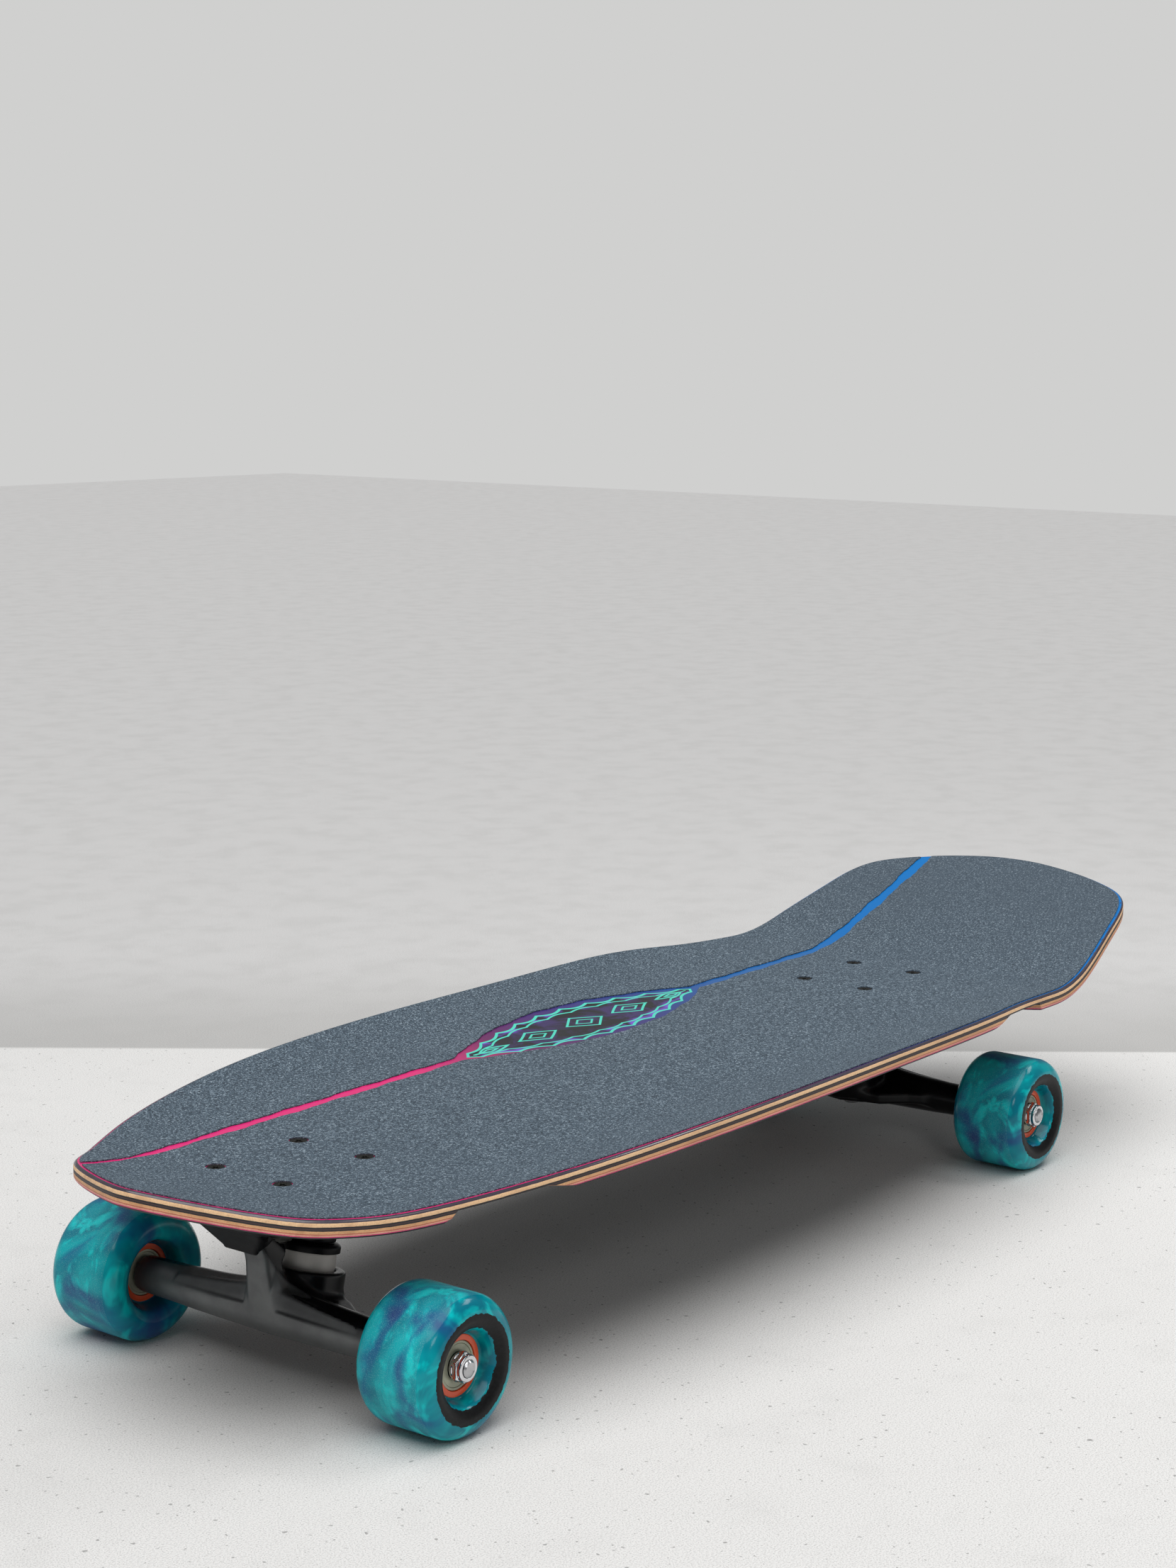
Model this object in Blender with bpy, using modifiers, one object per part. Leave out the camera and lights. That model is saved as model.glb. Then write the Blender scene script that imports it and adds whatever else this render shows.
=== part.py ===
"""A cruiser skateboard: a concave deck with a kick tail, on two trucks with four soft wheels.

Metres, +Z up, +X towards the nose, +Y towards the left of a rider who faces the nose. The origin lies on
the ground, under the middle of the deck's length. Each truck is made in its own frame: its origin is the
middle of the axle, its +X points outboard, from the middle of the board to the nearer end.
"""

import math

import bmesh
import bpy
from mathutils import Matrix, Vector

# Clearances
GAP = 0.0003  # between the faces of neighbouring pieces
FIT = 0.0002  # radial, between a round piece and its hole
CUTTER_OVERRUN = 0.02  # how far a cutter runs on past what it cuts
OVERLAP = 0.001  # how far shapes that are joined into one piece run into each other
MERGE_DISTANCE = 0.00001

# Deck
DECK_LENGTH = 0.7733
DECK_WIDTH = 0.2628
DECK_THICKNESS = 0.008
TOP_EDGE_RADIUS = 0.0025
BOTTOM_EDGE_RADIUS = 0.002
FLAT_STRIP_WIDTH = 0.130  # the level strip between the two raised rails
RAIL_RISE = 0.0104  # height of the deck's edge above that strip
RAIL_DIP_SHARE = 0.514  # how much of the rise fades where the kick begins
RAIL_DIP_REACH = 0.065
RAIL_DIP_BEHIND_KICK = 0.023
KICK_SLOPE = 0.315
KICK_BLEND_LENGTH = 0.045
KICK_CURL = 0.16  # extra lift per metre, past the blend
NOSE_CURL = 1.93
SPINE_FROM_NOSE = 0.062  # the line that the deck's rings close up on ends this far from the nose
SPINE_FROM_TAIL = 0.045
DECK_SHARES = (0.0, 0.5, 0.66, 0.8, 0.91)  # where the rings lie between that line and the edge

# The deck's outline is a B-spline through this cage, from the middle of the nose to the middle of the tail.
# Each pair is a share of the length and a share of half the width.
OUTLINE_CAGE = (
    (0.0000, 0.0000),
    (0.0001, 0.0609),
    (0.0400, 0.5335),
    (0.0647, 0.5906),
    (0.1097, 0.7740),
    (0.2392, 0.9703),
    (0.3968, 1.0084),
    (0.5387, 0.9893),
    (0.6644, 0.9970),
    (0.7341, 0.8942),
    (0.7955, 0.8790),
    (0.8612, 0.8440),
    (0.9181, 0.7725),
    (0.9754, 0.7184),
    (0.9999, 0.1758),
    (1.0001, 0.0000),
)

# Grip tape
GRIP_THICKNESS = 0.0009
GRIP_EDGE_MARGIN = 0.0003  # bare strip between the tape and the rounding of the deck's edge
STRIPE_Y = -0.058
STRIPE_WIDTH = 0.007
WINDOW_X = -0.010
WINDOW_LENGTH = 0.210
WINDOW_WIDTH = 0.058

# Where the trucks sit
NOSE_TO_FRONT_BOLTS = 0.1035  # to the middle of the front bolt pattern
BOLT_PATTERN_SPACING = 0.4832
KICK_BEHIND_REAR_BOLTS = 0.0304
NOSE_CURL_AHEAD_OF_BOLTS = 0.020
BOLT_PATTERN_LENGTH = 0.05398
BOLT_PATTERN_WIDTH = 0.04128
BOLTS_INBOARD_OF_AXLE = 0.0115

# Riser pads and mounting bolts
RISER_THICKNESS = 0.005
BOLT_DIAMETER = 0.0048
BOLT_HEAD_DIAMETER = 0.0088
BOLT_HEAD_HEIGHT = 0.0022
BOLT_NUT_ACROSS_FLATS = 0.0095
BOLT_NUT_HEIGHT = 0.0050
BOLT_TIP = 0.0012  # thread past the nut

# Baseplate
TRUCK_HEIGHT = 0.0527  # from the axle up to the top of the baseplate
BASEPLATE_LENGTH = 0.084
BASEPLATE_WIDTH = 0.057
BASEPLATE_THICKNESS = 0.0055
BASEPLATE_AHEAD_OF_AXLE = 0.0305
BASEPLATE_CORNER = 0.008
BASEPLATE_EDGE = 0.0012
HOUSING_DEPTH = 0.0197  # from the top of the baseplate down to the tip of the pivot housing
HOUSING_TIP_WIDTH = 0.022
HOUSING_ROOT_WIDTH = 0.036
HOUSING_SETBACK = 0.0015  # from the plate's outboard edge
BOLT_POCKET_RADIUS = 0.0075
RIB_WIDTH = 0.010
RIB_DEPTH = 0.0065

# Steering axis: it runs up and outboard, through the pivot
STEERING_TILT = math.radians(45)
STEERING_RANGE = math.radians(12)
PIVOT_AHEAD_OF_AXLE = 0.01425
PIVOT_BELOW_PLATE_TOP = 0.01295
PIVOT_NOSE_RADIUS = 0.0052
PIVOT_NOSE_CHAMFER = 0.001
PIVOT_CUP_WALL = 0.0015
PIVOT_CUP_DEPTH = 0.0075
NECK_RADIUS = 0.0070
NECK_CHAMFER = 0.0008
NECK_CLEARANCE = 0.002  # from the mouth of the pivot cup to the neck
NECK_LENGTH = 0.011
RING_REACH = 0.0455  # from the mouth of the pivot cup down the steering axis to the middle of the ring

# Kingpin stack: heights are measured along the kingpin from the middle of the ring
KINGPIN_TILT = math.radians(14)
KINGPIN_DIAMETER = 0.0095
KINGPIN_HEAD_ACROSS_FLATS = 0.0143
KINGPIN_HEAD_HEIGHT = 0.0055
KINGPIN_HEAD_SINK = 0.004  # how far the head sits below the plate's lower face, down in the boss
KINGPIN_NUT_ACROSS_FLATS = 0.0143
KINGPIN_NUT_HEIGHT = 0.0048
KINGPIN_NUT_COLLAR_RADIUS = 0.0060
KINGPIN_NUT_COLLAR_HEIGHT = 0.0019
KINGPIN_TIP = 0.0006
RING_WEB_TOP = 0.0041
RING_WEB_BOTTOM = -0.0009
RING_HOLE_DIAMETER = 0.015
YOKE_RIM = 0.0087
YOKE_RADIUS = 0.0192
YOKE_SKIRT = 0.004  # below the ring's lower face
YOKE_SKIRT_TAPER = 0.002
BOARDSIDE_BUSHING_RADIUS = 0.0140
BOARDSIDE_BUSHING_HEIGHT = 0.0127
ROADSIDE_BUSHING_RADIUS = 0.0092
ROADSIDE_BUSHING_FAR_RADIUS = 0.0083
ROADSIDE_BUSHING_HEIGHT = 0.0070
BUSHING_EDGE = 0.001
UPPER_WASHER_RADIUS = 0.0152
UPPER_WASHER_HEIGHT = 0.0036
LOWER_WASHER_RADIUS = 0.0088
LOWER_WASHER_HEIGHT = 0.0014
WASHER_SHEET = 0.0015
BUSHING_ROOM = 0.0005  # radial, between a bushing and the hanger
WASHER_ROOM = 0.0015  # between the upper washer and the stem, which swings past it
BOSS_RADIUS = 0.0124
BOSS_ROOT_RADIUS = 0.0140

# Hanger and axle
HANGER_WIDTH = 0.1664
ARM_ROOT_RADIUS = 0.0104
ARM_END_RADIUS = 0.0088
ARM_CHAMFER = 0.0008
ARM_SHARES = (0.0, 0.1, 0.2, 0.32, 0.48, 0.7)  # where an arm's sections lie on the way to its chamfer
GUSSET_HEIGHT = 0.0085  # how far the arm's top sweeps up into the stem
GUSSET_REACH = 0.0200
STEM_WIDTH = 0.016
STEM_EDGE = 0.0015
STEM_FOOT_FRONT = 0.0023  # how far the stem's foot lies below the axle
STEM_FOOT_BACK = 0.0058
WEB_THICKNESS = 0.007
WEB_DROP = 0.0003  # from the middle of the ring down to the web's upper face
WEB_REACH = 0.052  # how far along each arm the web runs out
WEB_BEHIND_YOKE = 0.0005  # how far the web stays inside the yoke's back

# One side of the web's outline: round the yoke, then out along the arm. Each pair round the yoke is a share
# of its radius. On the way out, each is a share of the way to the arm and a share of the reach.
WEB_ROUND_YOKE = ((-1.0, 0.0), (-0.92, 0.50), (-0.62, 0.98), (-0.35, 1.25))
WEB_ALONG_ARM = ((0.0, 0.55), (0.3, 0.75), (0.65, 1.0), (1.0, 1.0))
AXLE_DIAMETER = 0.00794
AXLE_CHAMFER = 0.0008
AXLE_TIP = 0.0012  # thread past the axle nut
AXLE_NUT_ACROSS_FLATS = 0.0127
AXLE_NUT_HEIGHT = 0.0054
AXLE_NUT_HEX_HEIGHT = 0.0032
AXLE_NUT_FLANGE = 0.0012
AXLE_NUT_FLANGE_RADIUS = 0.0069
AXLE_NUT_COLLAR_RADIUS = 0.0060

# Wheels: distances along the axle are measured from the wheel's middle, outboard positive
WHEEL_DIAMETER = 0.064
WHEEL_WIDTH = 0.043
WHEEL_EDGE_RADIUS = 0.0084
WHEEL_RECESS_RADIUS = 0.0176
WHEEL_RECESS_LIP = 0.0021  # how far the recess rim lies in from the wheel's face
WHEEL_RECESS_BULGE = 0.0002
WHEEL_FACE_RADIUS = 0.0215  # where the face is proudest
CORE_RADIUS = 0.0131
CORE_KEY_RADIUS = 0.0158
CORE_KEY_WIDTH = 0.006
CORE_SHOULDER_RADIUS = 0.0095
BEARING_DIAMETER = 0.022
BEARING_WIDTH = 0.007
BEARING_RACE_RADIUS = 0.0093  # bore of the outer ring, where the shields are clipped in
BEARING_SHIELD_RADIUS = 0.0062  # the hole in each shield
BEARING_SHIELD_THICKNESS = 0.0006
INNER_RING_RADIUS = 0.0055
SPACER_LENGTH = 0.010
SPACER_RADIUS = 0.0050
BEARINGS_OFFSET = 0.00055  # how far outboard of the wheel's middle the pair of bearings sits
SPEED_WASHER_RADIUS = 0.0060
SPEED_WASHER_THICKNESS = 0.0008

# Wheel wells, hollowed out of the deck's lower plies just inboard of the wheels
WELL_DEPTH = 0.0046
WELL_LENGTH = 0.075
WELL_INBOARD_OF_AXLE = 0.0015
WELL_OUTBOARD_SLOPE = 0.005
WELL_INBOARD_SLOPE = 0.024
WELL_SIDE_SLOPE = 0.012
WELL_SIDE_ROOM = 0.014

# How finely round shapes are cut into flats
TYRE_FLATS = 20
ROUND_FLATS = 16
SMALL_FLATS = 12
BOLT_FLATS = 8
OUTLINE_STEPS = 2  # points on each span of the outline's cage

# Levels above the ground and places along the board
AXLE_Z = WHEEL_DIAMETER / 2
DECK_BOTTOM_Z = AXLE_Z + TRUCK_HEIGHT + GAP + RISER_THICKNESS + GAP
DECK_TOP_Z = DECK_BOTTOM_Z + DECK_THICKNESS
GRIP_TOP_Z = DECK_TOP_Z + GAP + GRIP_THICKNESS
FRONT_BOLTS_X = DECK_LENGTH / 2 - NOSE_TO_FRONT_BOLTS
REAR_BOLTS_X = FRONT_BOLTS_X - BOLT_PATTERN_SPACING
KICK_START_X = REAR_BOLTS_X - KICK_BEHIND_REAR_BOLTS
NOSE_CURL_START_X = FRONT_BOLTS_X + NOSE_CURL_AHEAD_OF_BOLTS

# Places in a truck's frame
PLATE_BOTTOM_Z = TRUCK_HEIGHT - BASEPLATE_THICKNESS
PIVOT = Vector((PIVOT_AHEAD_OF_AXLE, 0, TRUCK_HEIGHT - PIVOT_BELOW_PLATE_TOP))
STEERING_FRAME = Matrix.Translation(PIVOT) @ Matrix.Rotation(STEERING_TILT, 4, "Y")
RING_CENTRE = STEERING_FRAME @ Vector((0, 0, -RING_REACH))
KINGPIN_FRAME = Matrix.Translation(RING_CENTRE) @ Matrix.Rotation(-KINGPIN_TILT, 4, "Y")
PIVOT_CUP_RADIUS = (PIVOT_NOSE_RADIUS + GAP) / math.cos(math.pi / SMALL_FLATS) + PIVOT_CUP_WALL

# The kingpin stack, from the ring outwards
BOARDSIDE_BUSHING_BOTTOM = RING_WEB_TOP + GAP
UPPER_WASHER_BOTTOM = BOARDSIDE_BUSHING_BOTTOM + BOARDSIDE_BUSHING_HEIGHT + GAP
BOSS_BOTTOM = UPPER_WASHER_BOTTOM + UPPER_WASHER_HEIGHT + GAP
ROADSIDE_BUSHING_TOP = RING_WEB_BOTTOM - GAP
LOWER_WASHER_TOP = ROADSIDE_BUSHING_TOP - ROADSIDE_BUSHING_HEIGHT - GAP
KINGPIN_NUT_TOP = LOWER_WASHER_TOP - LOWER_WASHER_HEIGHT - GAP
KINGPIN_END = KINGPIN_NUT_TOP - KINGPIN_NUT_HEIGHT - KINGPIN_TIP
KINGPIN_AT_PLATE = (PLATE_BOTTOM_Z - RING_CENTRE.z) / math.cos(KINGPIN_TILT)
KINGPIN_HEAD_BOTTOM = KINGPIN_AT_PLATE - KINGPIN_HEAD_SINK

# Along the axle, from the middle of the truck
SHOULDER_Y = HANGER_WIDTH / 2
INNER_SET_START_Y = SHOULDER_Y + GAP
BEARING_PAIR_LENGTH = 2 * BEARING_WIDTH + SPACER_LENGTH
INNER_SET_LENGTH = BEARING_PAIR_LENGTH + 2 * SPEED_WASHER_THICKNESS
AXLE_NUT_START_Y = INNER_SET_START_Y + INNER_SET_LENGTH + GAP
AXLE_END_Y = AXLE_NUT_START_Y + AXLE_NUT_HEIGHT + AXLE_TIP
WHEEL_Y = INNER_SET_START_Y + SPEED_WASHER_THICKNESS + BEARING_PAIR_LENGTH / 2 - BEARINGS_OFFSET


def clear_scene():
    for obj in list(bpy.data.objects):
        bpy.data.objects.remove(obj, do_unlink=True)


def new_collection(name):
    collection = bpy.data.collections.new(name)
    bpy.context.scene.collection.children.link(collection)
    return collection


def new_material(name, colour, roughness, metallic=0.0):
    material = bpy.data.materials.new(name)
    material.use_nodes = True
    shader = material.node_tree.nodes["Principled BSDF"]
    shader.inputs["Base Color"].default_value = (*colour, 1.0)
    shader.inputs["Roughness"].default_value = roughness
    shader.inputs["Metallic"].default_value = metallic
    material.diffuse_color = (*colour, 1.0)
    return material


def new_empty(name, matrix, parent=None):
    """An empty at a place in the world, kept there when it gets a parent."""
    empty = bpy.data.objects.new(name, None)
    empty.empty_display_size = 0.02
    PARTS.objects.link(empty)
    return placed(empty, matrix, parent)


def placed(obj, matrix, parent):
    obj.matrix_basis = matrix
    if parent is not None:
        obj.parent = parent
        bpy.context.view_layer.update()
        obj.matrix_parent_inverse = parent.matrix_world.inverted()
    return obj


def add_piece(name, mesh, material, matrix, parent):
    """One piece of the board. Copies of a piece share its mesh."""
    if not mesh.materials:
        mesh.materials.append(material)
    piece = bpy.data.objects.new(name, mesh)
    PARTS.objects.link(piece)
    return placed(piece, matrix, parent)


def add_cutter(name, mesh, matrix=Matrix()):
    cutter = bpy.data.objects.new(name, mesh)
    cutter.hide_render = True
    cutter.display_type = "WIRE"
    CUTTERS.objects.link(cutter)
    cutter.matrix_basis = matrix
    return cutter


def boolean(body, tool, operation):
    modifier = body.modifiers.new(f"{operation.lower()} {tool.name}", "BOOLEAN")
    modifier.operation = operation
    modifier.solver = "EXACT"
    modifier.object = tool


def finished(obj, name):
    """The mesh an object has after its modifiers. The object itself is removed."""
    bpy.context.view_layer.update()
    graph = bpy.context.evaluated_depsgraph_get()
    mesh = bpy.data.meshes.new_from_object(obj.evaluated_get(graph))
    mesh.name = name
    bpy.data.objects.remove(obj, do_unlink=True)
    return mesh


def smoothed(mesh, angle=math.radians(35)):
    mesh.shade_smooth()
    mesh.set_sharp_from_angle(angle=angle)
    return mesh


def mesh_from(bm, name):
    mesh = bpy.data.meshes.new(name)
    bmesh.ops.recalc_face_normals(bm, faces=bm.faces[:])
    bm.to_mesh(mesh)
    bm.free()
    return mesh


def turned(name, profile, flats, closed=False):
    """A mesh of revolution about Z. The profile of (radius, height) runs down its outer side.

    A closed profile makes a ring. An open one starts and ends on the axis.
    """
    count = len(profile)
    edges = [(i, (i + 1) % count) for i in range(count if closed else count - 1)]
    mesh = bpy.data.meshes.new(name)
    mesh.from_pydata([(radius, 0, height) for radius, height in profile], edges, [])
    obj = bpy.data.objects.new(name, mesh)
    CUTTERS.objects.link(obj)
    screw = obj.modifiers.new("turn", "SCREW")
    screw.steps = flats
    screw.render_steps = flats
    screw.use_merge_vertices = True
    screw.merge_threshold = MERGE_DISTANCE
    return smoothed(finished(obj, name))


def cylinder(name, radius, bottom, top, flats):
    """A cylinder about Z, cut into flats. The radius is the one to its corners."""
    bm = bmesh.new()
    bmesh.ops.create_cone(
        bm, cap_ends=True, segments=flats, radius1=radius, radius2=radius, depth=top - bottom
    )
    bmesh.ops.translate(bm, verts=bm.verts[:], vec=(0, 0, (top + bottom) / 2))
    return mesh_from(bm, name)


def hexagon(name, across_flats, bottom, top):
    return cylinder(name, across_flats / 2 / math.cos(math.pi / 6), bottom, top, 6)


def block(name, low, high):
    """A box between two opposite corners."""
    bm = bmesh.new()
    bmesh.ops.create_cube(bm, size=1)
    size = [b - a for a, b in zip(low, high)]
    centre = [(a + b) / 2 for a, b in zip(low, high)]
    bmesh.ops.scale(bm, verts=bm.verts[:], vec=size)
    bmesh.ops.translate(bm, verts=bm.verts[:], vec=centre)
    return mesh_from(bm, name)


def hull(name, points):
    """The smallest convex solid round some points."""
    bm = bmesh.new()
    for point in points:
        bm.verts.new(point)
    made = bmesh.ops.convex_hull(bm, input=bm.verts[:])
    unused = {v for v in made["geom_unused"] + made["geom_interior"] if isinstance(v, bmesh.types.BMVert)}
    bmesh.ops.delete(bm, geom=list(unused), context="VERTS")
    return mesh_from(bm, name)


def extruded(name, outline, bottom, top, bevel=0.0):
    """A flat outline of (x, y) points given a thickness along Z, with its edges bevelled."""
    curve = bpy.data.curves.new(name, "CURVE")
    curve.dimensions = "2D"
    curve.fill_mode = "BOTH"
    curve.extrude = (top - bottom) / 2
    spline = curve.splines.new("POLY")
    spline.points.add(len(outline) - 1)
    for point, (x, y) in zip(spline.points, outline):
        point.co = (x, y, 0, 1)
    spline.use_cyclic_u = True
    obj = bpy.data.objects.new(name, curve)
    CUTTERS.objects.link(obj)
    mesh = finished(obj, name)
    bm = bmesh.new()
    bm.from_mesh(mesh)
    bmesh.ops.remove_doubles(bm, verts=bm.verts[:], dist=MERGE_DISTANCE)
    bmesh.ops.dissolve_limit(bm, angle_limit=0.01, verts=bm.verts[:], edges=bm.edges[:])
    bmesh.ops.translate(bm, verts=bm.verts[:], vec=(0, 0, (top + bottom) / 2))
    if bevel:
        bmesh.ops.bevel(
            bm, geom=bm.edges[:], offset=bevel, offset_type="OFFSET", segments=1, affect="EDGES"
        )
    bpy.data.meshes.remove(mesh)
    return mesh_from(bm, name)


def combined(name, base, joins=(), cuts=()):
    """One mesh: a base with some meshes joined to it, and then others cut out of it."""
    body = bpy.data.objects.new(name, base)
    CUTTERS.objects.link(body)
    tools = []
    for meshes, operation in ((joins, "UNION"), (cuts, "DIFFERENCE")):
        for mesh in meshes:
            tool = bpy.data.objects.new(mesh.name, mesh)
            CUTTERS.objects.link(tool)
            boolean(body, tool, operation)
            tools.append(tool)
    mesh = finished(body, name)
    for tool in tools:
        bpy.data.objects.remove(tool, do_unlink=True)
    return smoothed(mesh)


def moved(mesh, matrix):
    mesh.transform(matrix)
    return mesh


def bore(radius, flats):
    """The corner radius of a many-sided hole that clears a round piece of this radius all round."""
    return (radius + FIT) / math.cos(math.pi / flats)


def rise(x, y):
    """How far the deck's top surface lies above its level middle."""
    half_strip = FLAT_STRIP_WIDTH / 2
    rail = max(abs(y) - half_strip, 0) / (DECK_WIDTH / 2 - half_strip)
    from_dip = (x - KICK_START_X + RAIL_DIP_BEHIND_KICK) / RAIL_DIP_REACH
    height = RAIL_RISE * (1 - RAIL_DIP_SHARE * math.exp(-(from_dip**2))) * rail**2
    back = KICK_START_X - x
    if back > KICK_BLEND_LENGTH:
        past = back - KICK_BLEND_LENGTH
        height += KICK_SLOPE * (back - KICK_BLEND_LENGTH / 2) + KICK_CURL * past**2
    elif back > 0:
        height += KICK_SLOPE * back**2 / (2 * KICK_BLEND_LENGTH)
    return height + NOSE_CURL * max(x - NOSE_CURL_START_X, 0) ** 2


def deck_point(x, y, depth):
    """A point straight below the deck's top surface, by a depth measured square to that surface."""
    step = 0.0005
    slope_x = (rise(x + step, y) - rise(x - step, y)) / (2 * step)
    slope_y = (rise(x, y + step) - rise(x, y - step)) / (2 * step)
    drop = depth * math.sqrt(1 + slope_x**2 + slope_y**2)
    return Vector((x, y, DECK_TOP_Z + rise(x, y) - drop))


def cage_spline(cage, steps):
    """Points and outward normals of the closed B-spline through a mirrored cage, anticlockwise from above."""
    half = [Vector((-share, width)) for share, width in cage]
    mirrored = [Vector((p.x, -p.y)) for p in reversed(half[1:-1])]
    loop = half + mirrored
    points = []
    tangents = []
    for i in range(len(loop)):
        a, b, c, d = (loop[(i + k) % len(loop)] for k in (-1, 0, 1, 2))
        for k in range(steps):
            t = k / steps
            points.append(
                (
                    a * (1 - t) ** 3
                    + b * (3 * t**3 - 6 * t**2 + 4)
                    + c * (-3 * t**3 + 3 * t**2 + 3 * t + 1)
                    + d * t**3
                )
                / 6
            )
            tangents.append(
                (
                    a * -((1 - t) ** 2)
                    + b * (3 * t**2 - 4 * t)
                    + c * (-3 * t**2 + 2 * t + 1)
                    + d * t**2
                )
                / 2
            )
    return points, tangents


def deck_outline():
    """The deck's plan outline at its full size, as (point, outward normal) pairs."""
    points, tangents = cage_spline(OUTLINE_CAGE, OUTLINE_STEPS)
    nose = max(p.x for p in points)
    tail = min(p.x for p in points)
    scale_x = DECK_LENGTH / (nose - tail)
    scale_y = DECK_WIDTH / 2 / max(p.y for p in points)
    outline = []
    for point, tangent in zip(points, tangents):
        place = Vector(((point.x - (nose + tail) / 2) * scale_x, point.y * scale_y))
        along = Vector((tangent.x * scale_x, tangent.y * scale_y)).normalized()
        outline.append((place, Vector((along.y, -along.x))))
    return outline


def deck_ring(outline, inset, depth, share=1.0):
    """The outline moved in by an inset, sunk by a depth, and drawn in to a share of the way from the spine."""
    spine_front = DECK_LENGTH / 2 - SPINE_FROM_NOSE
    spine_rear = -DECK_LENGTH / 2 + SPINE_FROM_TAIL
    ring = []
    for point, normal in outline:
        edge = point - inset * normal
        spine = Vector((min(max(edge.x, spine_rear), spine_front), 0))
        plan = spine.lerp(edge, share)
        ring.append(deck_point(plan.x, plan.y, depth))
    return ring


def lofted(name, rings):
    """Faces between rings of equally many points. The first and last rings close up on the spine."""
    bm = bmesh.new()
    loops = [[bm.verts.new(point) for point in ring] for ring in rings]
    for inner, outer in zip(loops, loops[1:]):
        for i in range(len(inner)):
            j = (i + 1) % len(inner)
            bm.faces.new((inner[i], outer[i], outer[j], inner[j]))
    bmesh.ops.remove_doubles(bm, verts=bm.verts[:], dist=MERGE_DISTANCE)
    bmesh.ops.dissolve_degenerate(bm, edges=bm.edges[:], dist=MERGE_DISTANCE)
    return mesh_from(bm, name)


def deck_mesh():
    outline = deck_outline()
    rings = [deck_ring(outline, TOP_EDGE_RADIUS, 0, share) for share in DECK_SHARES]
    for angle in (0, math.pi / 4, math.pi / 2):
        inset = TOP_EDGE_RADIUS * (1 - math.sin(angle))
        rings.append(deck_ring(outline, inset, TOP_EDGE_RADIUS * (1 - math.cos(angle))))
    for angle in (0, math.pi / 2):
        inset = BOTTOM_EDGE_RADIUS * (1 - math.cos(angle))
        depth = DECK_THICKNESS - BOTTOM_EDGE_RADIUS * (1 - math.sin(angle))
        rings.append(deck_ring(outline, inset, depth))
    for share in reversed(DECK_SHARES):
        rings.append(deck_ring(outline, BOTTOM_EDGE_RADIUS, DECK_THICKNESS, share))
    return lofted("deck", rings)


def grip_mesh():
    outline = deck_outline()
    inset = TOP_EDGE_RADIUS + GRIP_EDGE_MARGIN
    shares = (*DECK_SHARES, 1.0)
    top = [deck_ring(outline, inset, -GAP - GRIP_THICKNESS, share) for share in shares]
    bottom = [deck_ring(outline, inset, -GAP, share) for share in reversed(shares)]
    return lofted("grip_tape", top + bottom)


def grip_divider(side):
    """A block over everything on the far side of one piece of grip tape: its edge runs along the stripe.

    Round the middle of the board that edge bows out into one half of the lens-shaped window.
    """
    edge = STRIPE_Y + side * STRIPE_WIDTH / 2
    bow_steps = 10
    outline = [(DECK_LENGTH, edge)]
    for i in range(bow_steps + 1):
        along = 1 - 2 * i / bow_steps
        bow = (WINDOW_WIDTH - STRIPE_WIDTH) / 2 * (1 - along**2)
        outline.append((WINDOW_X + along * WINDOW_LENGTH / 2, edge + side * bow))
    outline.append((-DECK_LENGTH, edge))
    outline.append((-DECK_LENGTH, -side * DECK_WIDTH))
    outline.append((DECK_LENGTH, -side * DECK_WIDTH))
    return extruded("grip_divider", outline, DECK_BOTTOM_Z, DECK_BOTTOM_Z + DECK_WIDTH)


def well_mesh(axle_x, heading, side):
    """A block whose curved top is the ceiling of one wheel well."""
    inner_y = WHEEL_Y - WHEEL_WIDTH / 2 - WELL_SIDE_ROOM
    outer_y = DECK_WIDTH / 2 + WELL_SIDE_ROOM
    end = WELL_INBOARD_OF_AXLE + WELL_LENGTH
    middle = (WELL_INBOARD_OF_AXLE + WELL_OUTBOARD_SLOPE + end - WELL_INBOARD_SLOPE) / 2
    stations = (
        (WELL_INBOARD_OF_AXLE, 0),
        (WELL_INBOARD_OF_AXLE + WELL_OUTBOARD_SLOPE, 1),
        (middle, 1),
        (end - WELL_INBOARD_SLOPE, 1),
        (end, 0),
    )
    across_steps = 7
    across = [(inner_y, 0)]
    for i in range(across_steps + 1):
        y = inner_y + WELL_SIDE_SLOPE + (outer_y - inner_y - WELL_SIDE_SLOPE) * i / across_steps
        across.append((y, 1))
    below = DECK_THICKNESS + OVERLAP
    bm = bmesh.new()
    grid = []
    for inboard, open_x in stations:
        row = []
        for y, open_y in across:
            depth = below - (below - DECK_THICKNESS + WELL_DEPTH) * open_x * open_y
            row.append(bm.verts.new(deck_point(axle_x - heading * inboard, side * y, depth)))
        grid.append(row)
    for row, following in zip(grid, grid[1:]):
        for j in range(len(row) - 1):
            bm.faces.new((row[j], row[j + 1], following[j + 1], following[j]))
    extruded_part = bmesh.ops.extrude_face_region(bm, geom=bm.faces[:])
    for element in extruded_part["geom"]:
        if isinstance(element, bmesh.types.BMVert):
            element.co.z = DECK_BOTTOM_Z - CUTTER_OVERRUN
    return mesh_from(bm, "wheel_well")


def truck_frame(end):
    """The world place of a truck's frame, by the end of the board that it serves."""
    heading = HEADINGS[end]
    bolts_x = FRONT_BOLTS_X if heading > 0 else REAR_BOLTS_X
    axle = Matrix.Translation((bolts_x + heading * BOLTS_INBOARD_OF_AXLE, 0, AXLE_Z))
    turn = Matrix.Rotation(0 if heading > 0 else math.pi, 4, "Z")
    return axle @ turn


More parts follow.
